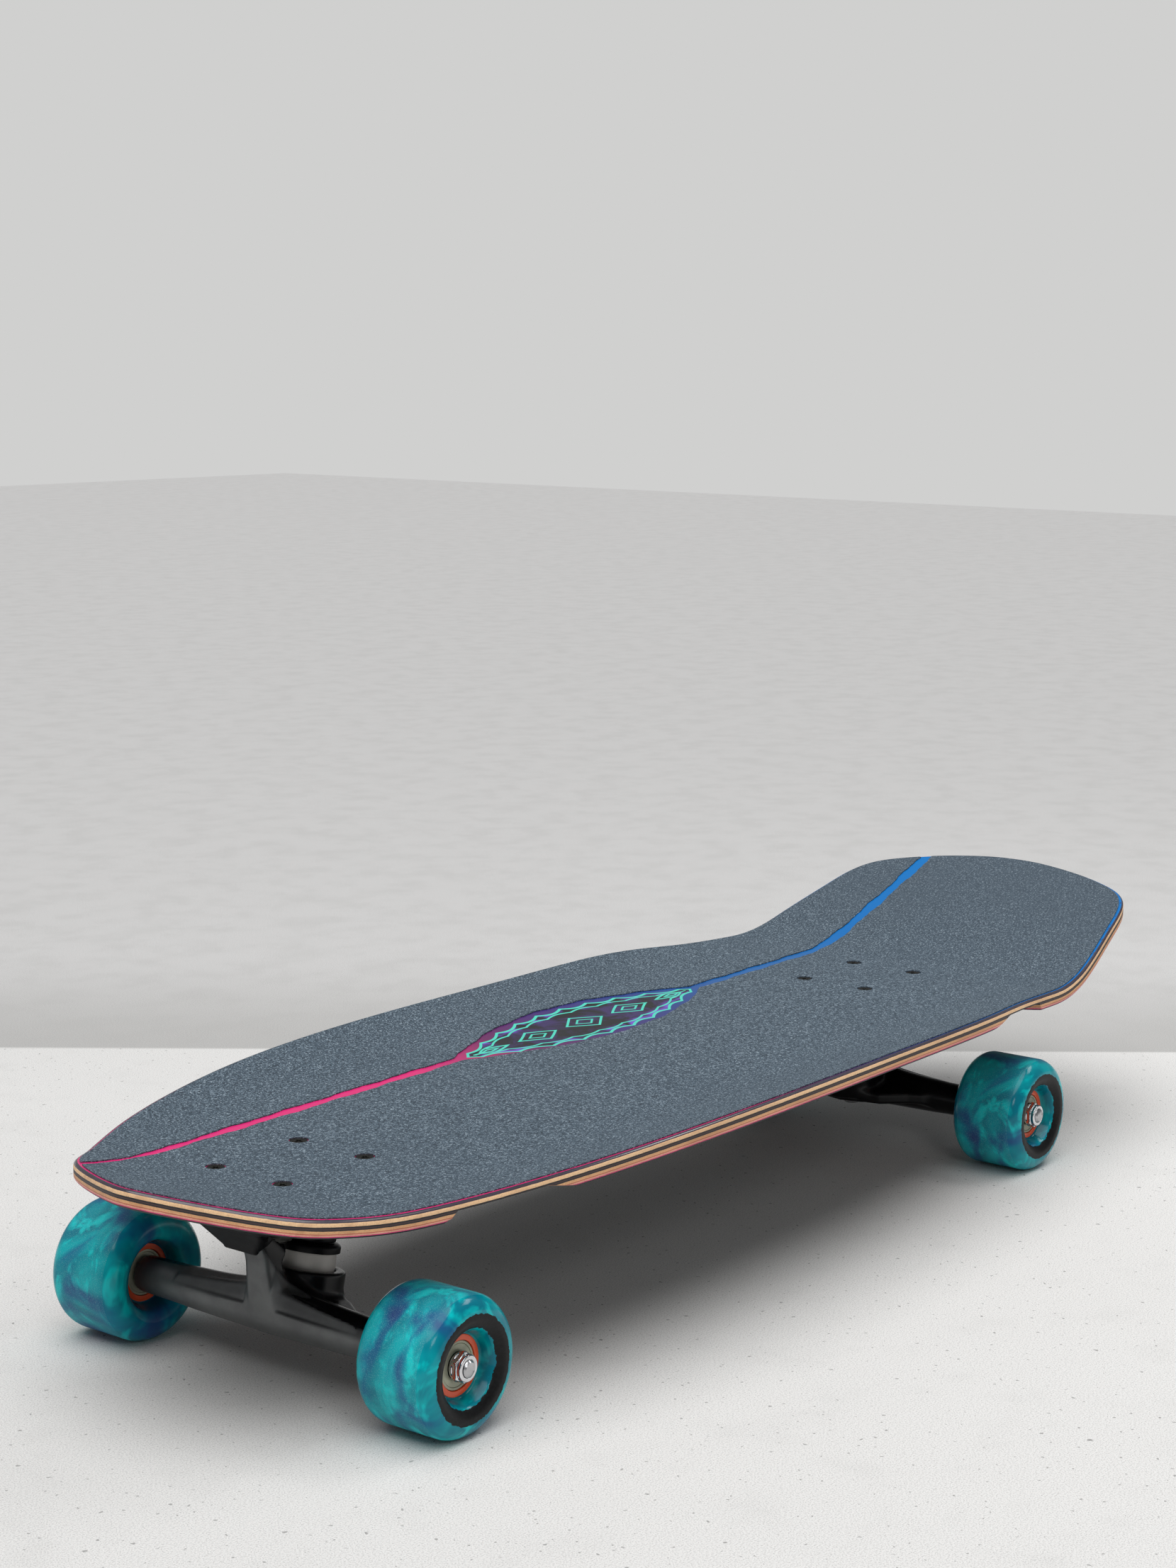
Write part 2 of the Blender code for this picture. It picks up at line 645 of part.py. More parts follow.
def bolt_places():
    """The four mounting bolts of a truck, in its frame."""
    places = []
    for x_sign in (1, -1):
        for y_sign in (1, -1):
            x = -BOLTS_INBOARD_OF_AXLE + x_sign * BOLT_PATTERN_LENGTH / 2
            places.append(Matrix.Translation((x, y_sign * BOLT_PATTERN_WIDTH / 2, 0)))
    return places


def bolt_mesh():
    """A countersunk machine screw with its lock nut, its head level with the grip tape."""
    top = GRIP_TOP_Z - AXLE_Z
    shank = BOLT_DIAMETER / 2
    head = BOLT_HEAD_DIAMETER / 2
    nut_top = PLATE_BOTTOM_Z - GAP
    tip = nut_top - BOLT_NUT_HEIGHT - BOLT_TIP
    profile = [
        (0, top),
        (head, top),
        (head, top - GRIP_THICKNESS / 2),
        (shank, top - GRIP_THICKNESS / 2 - BOLT_HEAD_HEIGHT),
        (shank, tip),
        (0, tip),
    ]
    screw = turned("mounting_bolt", profile, BOLT_FLATS)
    nut = hexagon("bolt_nut", BOLT_NUT_ACROSS_FLATS, nut_top - BOLT_NUT_HEIGHT, nut_top)
    return combined("mounting_bolt", screw, joins=[nut])


def bolt_hole_mesh():
    """What one mounting bolt needs cleared, from above the grip tape down through the baseplate."""
    top = GRIP_TOP_Z - AXLE_Z
    shank = bore(BOLT_DIAMETER / 2 + GAP, BOLT_FLATS)
    head = bore(BOLT_HEAD_DIAMETER / 2 + GAP, BOLT_FLATS)
    profile = [
        (0, top + CUTTER_OVERRUN),
        (head, top + CUTTER_OVERRUN),
        (head, top - GRIP_THICKNESS / 2 - GAP),
        (shank, top - GRIP_THICKNESS / 2 - BOLT_HEAD_HEIGHT - GAP),
        (shank, PLATE_BOTTOM_Z - CUTTER_OVERRUN),
        (0, PLATE_BOTTOM_Z - CUTTER_OVERRUN),
    ]
    return turned("bolt_hole", profile, BOLT_FLATS)


def plate_outline():
    """The rounded rectangle of the baseplate, which the riser pad shares."""
    front = BASEPLATE_AHEAD_OF_AXLE
    back = front - BASEPLATE_LENGTH
    half = BASEPLATE_WIDTH / 2
    corner_steps = 3
    outline = []
    for x, y, start in (
        (front, half, 0),
        (back, half, 90),
        (back, -half, 180),
        (front, -half, 270),
    ):
        centre_x = x - math.copysign(BASEPLATE_CORNER, x)
        centre_y = y - math.copysign(BASEPLATE_CORNER, y)
        for i in range(corner_steps + 1):
            angle = math.radians(start + 90 * i / corner_steps)
            outline.append(
                (
                    centre_x + BASEPLATE_CORNER * math.cos(angle),
                    centre_y + BASEPLATE_CORNER * math.sin(angle),
                )
            )
    return outline


def riser_mesh():
    bottom = TRUCK_HEIGHT + GAP
    plate = extruded("riser_pad", plate_outline(), bottom, bottom + RISER_THICKNESS)
    holes = [moved(bolt_hole_mesh(), place) for place in bolt_places()]
    return combined("riser_pad", plate, cuts=holes)


def housing_mesh():
    """The wedge under the outboard end of the baseplate that holds the pivot cup."""
    root_z = PLATE_BOTTOM_Z + BASEPLATE_THICKNESS / 4
    tip_z = TRUCK_HEIGHT - HOUSING_DEPTH
    lip_z = PLATE_BOTTOM_Z - BASEPLATE_EDGE
    face = PIVOT.x + PIVOT.z / math.tan(STEERING_TILT)
    tip_x = face - tip_z / math.tan(STEERING_TILT)
    root_x = face - root_z / math.tan(STEERING_TILT)
    lip_x = BASEPLATE_AHEAD_OF_AXLE - HOUSING_SETBACK
    points = []
    for side in (1, -1):
        tip = side * HOUSING_TIP_WIDTH / 2
        root = side * HOUSING_ROOT_WIDTH / 2
        points.append((root_x, root, root_z))
        points.append((tip_x, tip, tip_z))
        points.append((lip_x, (tip + root) / 2, lip_z))
        points.append((lip_x, root, root_z))
    return hull("pivot_housing", points)


def baseplate_mesh():
    plate = extruded(
        "baseplate", plate_outline(), PLATE_BOTTOM_Z, TRUCK_HEIGHT, BASEPLATE_EDGE
    )
    boss_top = KINGPIN_AT_PLATE + BASEPLATE_THICKNESS
    boss = turned(
        "kingpin_boss",
        [(0, boss_top), (BOSS_ROOT_RADIUS, boss_top), (BOSS_RADIUS, BOSS_BOTTOM), (0, BOSS_BOTTOM)],
        ROUND_FLATS,
    )
    rib = block(
        "rib",
        (RING_CENTRE.x, -RIB_WIDTH / 2, PLATE_BOTTOM_Z - RIB_DEPTH),
        (PIVOT.x, RIB_WIDTH / 2, PLATE_BOTTOM_Z + BASEPLATE_THICKNESS / 2),
    )
    cup_hole = cylinder(
        "cup_hole",
        bore(PIVOT_CUP_RADIUS, SMALL_FLATS),
        -CUTTER_OVERRUN,
        PIVOT_CUP_DEPTH + GAP,
        SMALL_FLATS,
    )
    head_room = cylinder(
        "head_room",
        bore(KINGPIN_HEAD_ACROSS_FLATS / 2 / math.cos(math.pi / 6), ROUND_FLATS),
        KINGPIN_HEAD_BOTTOM - GAP,
        KINGPIN_AT_PLATE + CUTTER_OVERRUN,
        ROUND_FLATS,
    )
    shank_hole = cylinder(
        "shank_hole",
        bore(KINGPIN_DIAMETER / 2, SMALL_FLATS),
        BOSS_BOTTOM - CUTTER_OVERRUN,
        KINGPIN_AT_PLATE,
        SMALL_FLATS,
    )
    above = block(
        "above_plate",
        (-BASEPLATE_LENGTH, -BASEPLATE_WIDTH, TRUCK_HEIGHT),
        (BASEPLATE_LENGTH, BASEPLATE_WIDTH, TRUCK_HEIGHT + CUTTER_OVERRUN),
    )
    cuts = [
        above,
        moved(cup_hole, STEERING_FRAME),
        moved(head_room, KINGPIN_FRAME),
        moved(shank_hole, KINGPIN_FRAME),
    ]
    for place in bolt_places():
        pocket_end = PLATE_BOTTOM_Z - CUTTER_OVERRUN
        pocket = cylinder("bolt_pocket", BOLT_POCKET_RADIUS, pocket_end, PLATE_BOTTOM_Z, BOLT_FLATS)
        cuts.append(moved(pocket, place))
        cuts.append(moved(bolt_hole_mesh(), place))
    return combined(
        "baseplate", plate, joins=[housing_mesh(), moved(boss, KINGPIN_FRAME), rib], cuts=cuts
    )


def pivot_cup_mesh():
    outer = PIVOT_CUP_RADIUS
    inner = outer - PIVOT_CUP_WALL
    top = PIVOT_CUP_DEPTH
    profile = [
        (0, top),
        (outer, top),
        (outer, 0),
        (inner, 0),
        (inner, top - PIVOT_CUP_WALL),
        (0, top - PIVOT_CUP_WALL),
    ]
    return moved(turned("pivot_cup", profile, SMALL_FLATS), STEERING_FRAME)


def kingpin_mesh():
    head_top = KINGPIN_HEAD_BOTTOM + KINGPIN_HEAD_HEIGHT
    shank_top = KINGPIN_HEAD_BOTTOM + OVERLAP
    shank = cylinder("kingpin", KINGPIN_DIAMETER / 2, KINGPIN_END, shank_top, SMALL_FLATS)
    head = hexagon("kingpin_head", KINGPIN_HEAD_ACROSS_FLATS, KINGPIN_HEAD_BOTTOM, head_top)
    return moved(combined("kingpin", shank, joins=[head]), KINGPIN_FRAME)


def kingpin_nut_mesh():
    """A low lock nut: a hexagon with a round collar below it."""
    bottom = KINGPIN_NUT_TOP - KINGPIN_NUT_HEIGHT
    hex_bottom = bottom + KINGPIN_NUT_COLLAR_HEIGHT
    hexagonal = hexagon("kingpin_nut", KINGPIN_NUT_ACROSS_FLATS, hex_bottom, KINGPIN_NUT_TOP)
    collar = cylinder(
        "collar", KINGPIN_NUT_COLLAR_RADIUS, bottom, hex_bottom + OVERLAP, SMALL_FLATS
    )
    hole = cylinder(
        "nut_hole",
        bore(KINGPIN_DIAMETER / 2, SMALL_FLATS),
        bottom - CUTTER_OVERRUN,
        KINGPIN_NUT_TOP + CUTTER_OVERRUN,
        SMALL_FLATS,
    )
    nut = combined("kingpin_nut", hexagonal, joins=[collar], cuts=[hole])
    return moved(nut, KINGPIN_FRAME)


def bushing_mesh(name, bottom, height, bottom_radius, top_radius):
    """A rubber bushing round the kingpin."""
    hole = bore(KINGPIN_DIAMETER / 2 + GAP, SMALL_FLATS)
    top = bottom + height
    profile = [
        (hole, top),
        (top_radius - BUSHING_EDGE, top),
        (top_radius, top - BUSHING_EDGE),
        (bottom_radius, bottom + BUSHING_EDGE),
        (bottom_radius - BUSHING_EDGE, bottom),
        (hole, bottom),
    ]
    return moved(turned(name, profile, ROUND_FLATS, closed=True), KINGPIN_FRAME)


def upper_washer_mesh():
    """A pressed cup washer whose rim reaches down round the bushing."""
    hole = bore(KINGPIN_DIAMETER / 2, SMALL_FLATS)
    radius = UPPER_WASHER_RADIUS
    top = UPPER_WASHER_BOTTOM + UPPER_WASHER_HEIGHT
    inside = top - WASHER_SHEET
    profile = [
        (hole, top),
        (radius - 2 * WASHER_SHEET, top),
        (radius, inside),
        (radius, UPPER_WASHER_BOTTOM),
        (radius - WASHER_SHEET / 2, UPPER_WASHER_BOTTOM),
        (radius - WASHER_SHEET, inside),
        (hole, inside),
    ]
    return moved(turned("upper_cup_washer", profile, ROUND_FLATS, closed=True), KINGPIN_FRAME)


def lower_washer_mesh():
    hole = bore(KINGPIN_DIAMETER / 2, SMALL_FLATS)
    bottom = LOWER_WASHER_TOP - LOWER_WASHER_HEIGHT
    profile = [
        (hole, LOWER_WASHER_TOP),
        (LOWER_WASHER_RADIUS, LOWER_WASHER_TOP),
        (LOWER_WASHER_RADIUS, bottom),
        (hole, bottom),
    ]
    return moved(turned("lower_cup_washer", profile, ROUND_FLATS, closed=True), KINGPIN_FRAME)


def arms_mesh():
    """The two arms round the axle. Their tops sweep up towards the stem."""
    flats = ROUND_FLATS
    end = SHOULDER_Y
    stations = [share * end for share in ARM_SHARES] + [end - ARM_CHAMFER, end]
    bm = bmesh.new()
    rings = []
    for y in stations:
        radius = ARM_ROOT_RADIUS + (ARM_END_RADIUS - ARM_ROOT_RADIUS) * y / end
        if y == end:
            radius -= ARM_CHAMFER
        gusset = GUSSET_HEIGHT * math.exp(-y / GUSSET_REACH)
        ring = []
        for i in range(flats):
            angle = 2 * math.pi * i / flats
            z = (radius + gusset / 2) * math.sin(angle) + gusset / 2
            ring.append(bm.verts.new((radius * math.cos(angle), y, z)))
        rings.append(ring)
    for ring, following in zip(rings, rings[1:]):
        for i in range(flats):
            j = (i + 1) % flats
            bm.faces.new((ring[i], ring[j], following[j], following[i]))
    bm.faces.new(rings[-1])
    obj = bpy.data.objects.new("arms", mesh_from(bm, "arms"))
    CUTTERS.objects.link(obj)
    mirror = obj.modifiers.new("other arm", "MIRROR")
    mirror.use_axis = (False, True, False)
    mirror.merge_threshold = MERGE_DISTANCE
    return finished(obj, "arms")


def stem_mesh():
    """The upright between the arms and the neck, drawn from the side and given the stem's width."""
    neck_back = STEERING_FRAME @ Vector((-NECK_RADIUS, 0, -NECK_LENGTH))
    neck_front = STEERING_FRAME @ Vector((NECK_RADIUS, 0, -NECK_LENGTH))
    yoke_rim = KINGPIN_FRAME @ Vector((0, 0, YOKE_RIM))
    front_x = max(ARM_ROOT_RADIUS, neck_front.x)
    outline = [
        (front_x, -STEM_FOOT_FRONT),
        (front_x, neck_front.z),
        (neck_back.x, neck_back.z),
        (yoke_rim.x, yoke_rim.z),
        (RING_CENTRE.x, RING_CENTRE.z),
        (0, -STEM_FOOT_BACK),
    ]
    stem = extruded("stem", outline, -STEM_WIDTH / 2, STEM_WIDTH / 2, STEM_EDGE)
    return moved(stem, Matrix.Rotation(math.pi / 2, 4, "X"))


def neck_mesh():
    """The round neck that ends in the nose turning in the pivot cup."""
    nose_top = PIVOT_CUP_DEPTH - PIVOT_CUP_WALL - GAP
    root = -NECK_LENGTH - NECK_RADIUS
    profile = [
        (0, nose_top),
        (PIVOT_NOSE_RADIUS - PIVOT_NOSE_CHAMFER, nose_top),
        (PIVOT_NOSE_RADIUS, nose_top - PIVOT_NOSE_CHAMFER),
        (PIVOT_NOSE_RADIUS, -NECK_CLEARANCE / 2),
        (NECK_RADIUS - NECK_CHAMFER, -NECK_CLEARANCE),
        (NECK_RADIUS, -NECK_LENGTH),
        (NECK_RADIUS, root),
        (0, root),
    ]
    return moved(turned("neck", profile, SMALL_FLATS), STEERING_FRAME)


def yoke_mesh():
    skirt = RING_WEB_BOTTOM - YOKE_SKIRT
    profile = [
        (0, YOKE_RIM),
        (YOKE_RADIUS, YOKE_RIM),
        (YOKE_RADIUS, RING_WEB_BOTTOM),
        (YOKE_RADIUS - YOKE_SKIRT_TAPER, skirt),
        (0, skirt),
    ]
    return moved(turned("yoke", profile, ROUND_FLATS), KINGPIN_FRAME)


def web_mesh():
    """The flat webs that flare from the yoke out to the arms, drawn in the plane of the ring."""
    arm_x = -RING_CENTRE.x / math.cos(KINGPIN_TILT)
    back = YOKE_RADIUS - WEB_BEHIND_YOKE
    half = [(x * back, y * back) for x, y in WEB_ROUND_YOKE]
    half += [(x * arm_x, y * WEB_REACH) for x, y in WEB_ALONG_ARM]
    outline = half + [(x, -y) for x, y in reversed(half[1:])]
    web = extruded("web", outline, -WEB_DROP - WEB_THICKNESS, -WEB_DROP)
    return moved(web, KINGPIN_FRAME)


def bushing_room_mesh():
    """Room for the boardside bushing in the yoke, and above it for the cup washer."""
    bushing = BOARDSIDE_BUSHING_RADIUS + BUSHING_ROOM
    washer = UPPER_WASHER_RADIUS + WASHER_ROOM
    top = BOSS_BOTTOM + CUTTER_OVERRUN
    profile = [
        (0, top),
        (washer, top),
        (washer, UPPER_WASHER_BOTTOM - WASHER_ROOM),
        (bushing, UPPER_WASHER_BOTTOM - WASHER_ROOM),
        (bushing, RING_WEB_TOP),
        (0, RING_WEB_TOP),
    ]
    return moved(turned("bushing_room", profile, ROUND_FLATS), KINGPIN_FRAME)


def roadside_room_mesh():
    """Room below the ring for the roadside bushing, the washer and the nut.

    It is wider across the board, where the hanger swings past the fixed kingpin.
    """
    radius = ROADSIDE_BUSHING_RADIUS + BUSHING_ROOM
    swing = (RING_WEB_BOTTOM - KINGPIN_END) * math.sin(STEERING_RANGE)
    end = KINGPIN_END - CUTTER_OVERRUN
    room = cylinder("roadside_room", radius, end, RING_WEB_BOTTOM, ROUND_FLATS)
    widened = Matrix.Scale((radius + swing) / radius, 4, Vector((0, 1, 0)))
    return moved(moved(room, widened), KINGPIN_FRAME)


def hanger_mesh():
    ring_hole_end = RING_WEB_BOTTOM - CUTTER_OVERRUN
    ring_hole = cylinder("ring_hole", RING_HOLE_DIAMETER / 2, ring_hole_end, YOKE_RIM, ROUND_FLATS)
    axle_hole = cylinder(
        "axle_hole", bore(AXLE_DIAMETER / 2, SMALL_FLATS), -HANGER_WIDTH, HANGER_WIDTH, SMALL_FLATS
    )
    return combined(
        "hanger",
        arms_mesh(),
        joins=[stem_mesh(), neck_mesh(), yoke_mesh(), web_mesh()],
        cuts=[
            bushing_room_mesh(),
            roadside_room_mesh(),
            moved(ring_hole, KINGPIN_FRAME),
            moved(axle_hole, Matrix.Rotation(math.pi / 2, 4, "X")),
        ],
    )


def axle_mesh():
    radius = AXLE_DIAMETER / 2
    straight = AXLE_END_Y - AXLE_CHAMFER
    profile = [
        (0, AXLE_END_Y),
        (radius - AXLE_CHAMFER, AXLE_END_Y),
        (radius, straight),
        (radius, -straight),
        (radius - AXLE_CHAMFER, -AXLE_END_Y),
        (0, -AXLE_END_Y),
    ]
    return moved(turned("axle", profile, SMALL_FLATS), Matrix.Rotation(math.pi / 2, 4, "X"))


def axle_nut_mesh():
    """A flanged lock nut, standing on the plane of the speed washer."""
    hexagonal = hexagon("axle_nut", AXLE_NUT_ACROSS_FLATS, 0, AXLE_NUT_HEX_HEIGHT)
    flange = cylinder("flange", AXLE_NUT_FLANGE_RADIUS, 0, AXLE_NUT_FLANGE, SMALL_FLATS)
    collar = cylinder(
        "collar", AXLE_NUT_COLLAR_RADIUS, AXLE_NUT_FLANGE, AXLE_NUT_HEIGHT, SMALL_FLATS
    )
    hole = cylinder(
        "nut_hole",
        bore(AXLE_DIAMETER / 2, SMALL_FLATS),
        -CUTTER_OVERRUN,
        AXLE_NUT_HEIGHT + CUTTER_OVERRUN,
        SMALL_FLATS,
    )
    return combined("axle_nut", hexagonal, joins=[flange, collar], cuts=[hole])


def inner_set_mesh():
    """Two speed washers, two bearing inner rings and the spacer, clamped in one stack on the axle."""
    hole = bore(AXLE_DIAMETER / 2, SMALL_FLATS)
    washer = INNER_SET_LENGTH / 2 - SPEED_WASHER_THICKNESS
    end = INNER_SET_LENGTH / 2
    half = [
        (hole, end),
        (SPEED_WASHER_RADIUS, end),
        (SPEED_WASHER_RADIUS, washer),
        (INNER_RING_RADIUS, washer),
        (INNER_RING_RADIUS, SPACER_LENGTH / 2),
        (SPACER_RADIUS, SPACER_LENGTH / 2),
    ]
    profile = half + [(radius, -height) for radius, height in reversed(half)]
    return turned("bearing_inner_set", profile, SMALL_FLATS, closed=True)


def bearing_mesh():
    """A bearing's outer ring with its two shields. The gap round the inner ring stays open."""
    outer = BEARING_DIAMETER / 2
    end = BEARING_WIDTH / 2
    inside = end - BEARING_SHIELD_THICKNESS
    profile = [
        (BEARING_SHIELD_RADIUS, end),
        (outer, end),
        (outer, -end),
        (BEARING_SHIELD_RADIUS, -end),
        (BEARING_SHIELD_RADIUS, -inside),
        (BEARING_RACE_RADIUS, -inside),
        (BEARING_RACE_RADIUS, inside),
        (BEARING_SHIELD_RADIUS, inside),
    ]
    return turned("bearing", profile, ROUND_FLATS, closed=True)


def core_mesh():
    """The hub that the urethane is cast round, with a seat for a bearing at each end and a key round it."""
    end = BEARING_PAIR_LENGTH / 2
    seat = SPACER_LENGTH / 2 - GAP
    bearing_bore = bore(BEARING_DIAMETER / 2, ROUND_FLATS)
    key = CORE_KEY_WIDTH / 2
    profile = [
        (bearing_bore, end),
        (CORE_RADIUS, end),
        (CORE_RADIUS, key),
        (CORE_KEY_RADIUS, key),
        (CORE_KEY_RADIUS, -key),
        (CORE_RADIUS, -key),
        (CORE_RADIUS, -end),
        (bearing_bore, -end),
        (bearing_bore, -seat),
        (CORE_SHOULDER_RADIUS, -seat),
        (CORE_SHOULDER_RADIUS, seat),
        (bearing_bore, seat),
    ]
    return turned("wheel_core", profile, ROUND_FLATS, closed=True)


def tyre_mesh():
    """The urethane tyre. Its flats lie on the true radius, so the wheel stands on one of them."""
    spread = 1 / math.cos(math.pi / TYRE_FLATS)
    tread = WHEEL_DIAMETER / 2 * spread
    face = WHEEL_WIDTH / 2
    core_end = BEARING_PAIR_LENGTH / 2 + BEARINGS_OFFSET
    core_start = core_end - BEARING_PAIR_LENGTH
    key = CORE_KEY_WIDTH / 2
    snug = bore(CORE_RADIUS, TYRE_FLATS)
    key_bore = bore(CORE_KEY_RADIUS, TYRE_FLATS)
    edge = WHEEL_EDGE_RADIUS
    arc_steps = 3

    def side(sign, bearing_face):
        """One face of the tyre, from its bore out to its tread."""
        lip = sign * (face - WHEEL_RECESS_LIP)
        bulge = sign * WHEEL_RECESS_BULGE
        points = [
            (snug, bearing_face),
            ((snug + WHEEL_RECESS_RADIUS) / 2, (bearing_face + lip) / 2 + bulge),
            (WHEEL_RECESS_RADIUS, lip),
            (WHEEL_FACE_RADIUS, sign * face),
        ]
        for i in range(arc_steps + 1):
            angle = math.pi / 2 * i / arc_steps
            points.append(
                (
                    tread - edge + edge * math.sin(angle),
                    sign * (face - edge + edge * math.cos(angle)),
                )
            )
        return points

    outboard = side(1, core_end)
    inboard = side(-1, core_start)
    keyway = [
        (snug, BEARINGS_OFFSET - key - GAP),
        (key_bore, BEARINGS_OFFSET - key - GAP),
        (key_bore, BEARINGS_OFFSET + key + GAP),
        (snug, BEARINGS_OFFSET + key + GAP),
    ]
    profile = outboard + list(reversed(inboard)) + keyway
    return turned("wheel_tyre", profile, TYRE_FLATS, closed=True)


def build_deck():
    deck = add_piece("deck", deck_mesh(), MAPLE, Matrix(), None)
    divided = {"left": 1, "right": -1}
    grips = []
    for name, side in divided.items():
        grip = add_piece(f"grip_tape_{name}", grip_mesh(), GRIP, Matrix(), deck)
        divider = add_cutter(f"grip_divider_{name}", grip_divider(side))
        boolean(grip, divider, "DIFFERENCE")
        grips.append(grip)
    for end, heading in HEADINGS.items():
        frame = truck_frame(end)
        for side in (1, -1):
            well = add_cutter(
                f"{end}_{SIDES[side]}_wheel_well", well_mesh(frame.translation.x, heading, side)
            )
            boolean(deck, well, "DIFFERENCE")
        for i, place in enumerate(bolt_places(), 1):
            hole = add_cutter(f"{end}_bolt_hole_{i}", bolt_hole_mesh(), frame @ place)
            for piece in (deck, *grips):
                boolean(piece, hole, "DIFFERENCE")
    return deck


def build_wheel(prefix, centre, parent):
    """One wheel, with its frame's +Z along the axle, outboard."""
    axis = new_empty(f"{prefix}_wheel_axis", centre, parent)
    half_flat = Matrix.Rotation(math.pi / TYRE_FLATS, 4, "Z")
    core = centre @ Matrix.Translation((0, 0, BEARINGS_OFFSET))
    bearing_offset = (SPACER_LENGTH + BEARING_WIDTH) / 2
    add_piece(f"{prefix}_wheel_tyre", MESHES["tyre"], URETHANE, centre @ half_flat, axis)
    add_piece(f"{prefix}_wheel_core", MESHES["core"], ORANGE_HUB, core, axis)
    for name, offset in (("outboard", bearing_offset), ("inboard", -bearing_offset)):
        place = core @ Matrix.Translation((0, 0, offset))
        add_piece(f"{prefix}_{name}_bearing", MESHES["bearing"], BEARING_STEEL, place, axis)


def build_truck(end, deck):
    """A truck: what is bolted to the deck, then the hanger with what turns on its axle."""
    frame = truck_frame(end)
    mount = new_empty(f"{end}_truck", frame, deck)
    add_piece(f"{end}_riser_pad", MESHES["riser"], BLACK_RUBBER, frame, mount)
    add_piece(f"{end}_baseplate", MESHES["baseplate"], BLACK_PAINT, frame, mount)
    add_piece(f"{end}_pivot_cup", MESHES["pivot_cup"], BLACK_PLASTIC, frame, mount)
    add_piece(f"{end}_kingpin", MESHES["kingpin"], STEEL, frame, mount)
    add_piece(f"{end}_kingpin_nut", MESHES["kingpin_nut"], STEEL, frame, mount)
    add_piece(f"{end}_boardside_bushing", MESHES["boardside_bushing"], WHITE_BUSHING, frame, mount)
    add_piece(f"{end}_roadside_bushing", MESHES["roadside_bushing"], BLACK_RUBBER, frame, mount)
    add_piece(f"{end}_upper_cup_washer", MESHES["upper_washer"], BLACK_PAINT, frame, mount)
    add_piece(f"{end}_lower_cup_washer", MESHES["lower_washer"], BLACK_PAINT, frame, mount)
    for i, place in enumerate(bolt_places(), 1):
        add_piece(f"{end}_mounting_bolt_{i}", MESHES["bolt"], BLACK_STEEL, frame @ place, mount)

    steering = new_empty(f"{end}_steering_axis", frame @ STEERING_FRAME, mount)
    add_piece(f"{end}_hanger", MESHES["hanger"], GUNMETAL, frame, steering)
    add_piece(f"{end}_axle", MESHES["axle"], STEEL, frame, steering)
    for side in (1, -1):
        prefix = f"{end}_{SIDES[side * HEADINGS[end]]}"
        outboard = frame @ Matrix.Rotation(-side * math.pi / 2, 4, "X")
        inner_set = outboard @ Matrix.Translation((0, 0, INNER_SET_START_Y + INNER_SET_LENGTH / 2))
        nut = outboard @ Matrix.Translation((0, 0, AXLE_NUT_START_Y))
        wheel = outboard @ Matrix.Translation((0, 0, WHEEL_Y))
        add_piece(f"{prefix}_bearing_inner_set", MESHES["inner_set"], STEEL, inner_set, steering)
        add_piece(f"{prefix}_axle_nut", MESHES["axle_nut"], CHROME, nut, steering)
        build_wheel(prefix, wheel, steering)


clear_scene()
PARTS = new_collection("cruiser_skateboard")
CUTTERS = new_collection("cutters")
CUTTERS.hide_render = True
HEADINGS = {"front": 1, "rear": -1}
SIDES = {1: "left", -1: "right"}

MAPLE = new_material("maple_plies", (0.55, 0.36, 0.20), 0.40)
GRIP = new_material("grey_grip_tape", (0.07, 0.10, 0.13), 0.95)
BLACK_RUBBER = new_material("black_rubber", (0.015, 0.015, 0.016), 0.75)
BLACK_PAINT = new_material("black_paint", (0.012, 0.012, 0.013), 0.45)
BLACK_PLASTIC = new_material("black_plastic", (0.02, 0.02, 0.02), 0.55)
BLACK_STEEL = new_material("black_steel", (0.05, 0.05, 0.055), 0.40, 0.8)
GUNMETAL = new_material("gunmetal_paint", (0.22, 0.22, 0.23), 0.38, 0.6)
STEEL = new_material("bright_steel", (0.60, 0.60, 0.60), 0.25, 1.0)
CHROME = new_material("chrome", (0.75, 0.75, 0.76), 0.12, 1.0)
BEARING_STEEL = new_material("bearing_steel", (0.26, 0.26, 0.20), 0.35, 0.6)
WHITE_BUSHING = new_material("white_urethane", (0.85, 0.84, 0.80), 0.35)
ORANGE_HUB = new_material("orange_hub", (0.90, 0.18, 0.04), 0.35)
URETHANE = new_material("teal_urethane", (0.01, 0.38, 0.42), 0.30)

MESHES = {
    "riser": riser_mesh(),
    "baseplate": baseplate_mesh(),
    "pivot_cup": pivot_cup_mesh(),
    "kingpin": kingpin_mesh(),
    "kingpin_nut": kingpin_nut_mesh(),
    "boardside_bushing": bushing_mesh(
        "boardside_bushing",
        BOARDSIDE_BUSHING_BOTTOM,
        BOARDSIDE_BUSHING_HEIGHT,
        BOARDSIDE_BUSHING_RADIUS,
        BOARDSIDE_BUSHING_RADIUS,
    ),
    "roadside_bushing": bushing_mesh(
        "roadside_bushing",
        ROADSIDE_BUSHING_TOP - ROADSIDE_BUSHING_HEIGHT,
        ROADSIDE_BUSHING_HEIGHT,
        ROADSIDE_BUSHING_FAR_RADIUS,
        ROADSIDE_BUSHING_RADIUS,
    ),
    "upper_washer": upper_washer_mesh(),
    "lower_washer": lower_washer_mesh(),
    "bolt": bolt_mesh(),
    "hanger": hanger_mesh(),
    "axle": axle_mesh(),
    "inner_set": inner_set_mesh(),
    "axle_nut": axle_nut_mesh(),
    "bearing": bearing_mesh(),
    "core": core_mesh(),
    "tyre": tyre_mesh(),
}

board = build_deck()
for board_end in HEADINGS:
    build_truck(board_end, board)
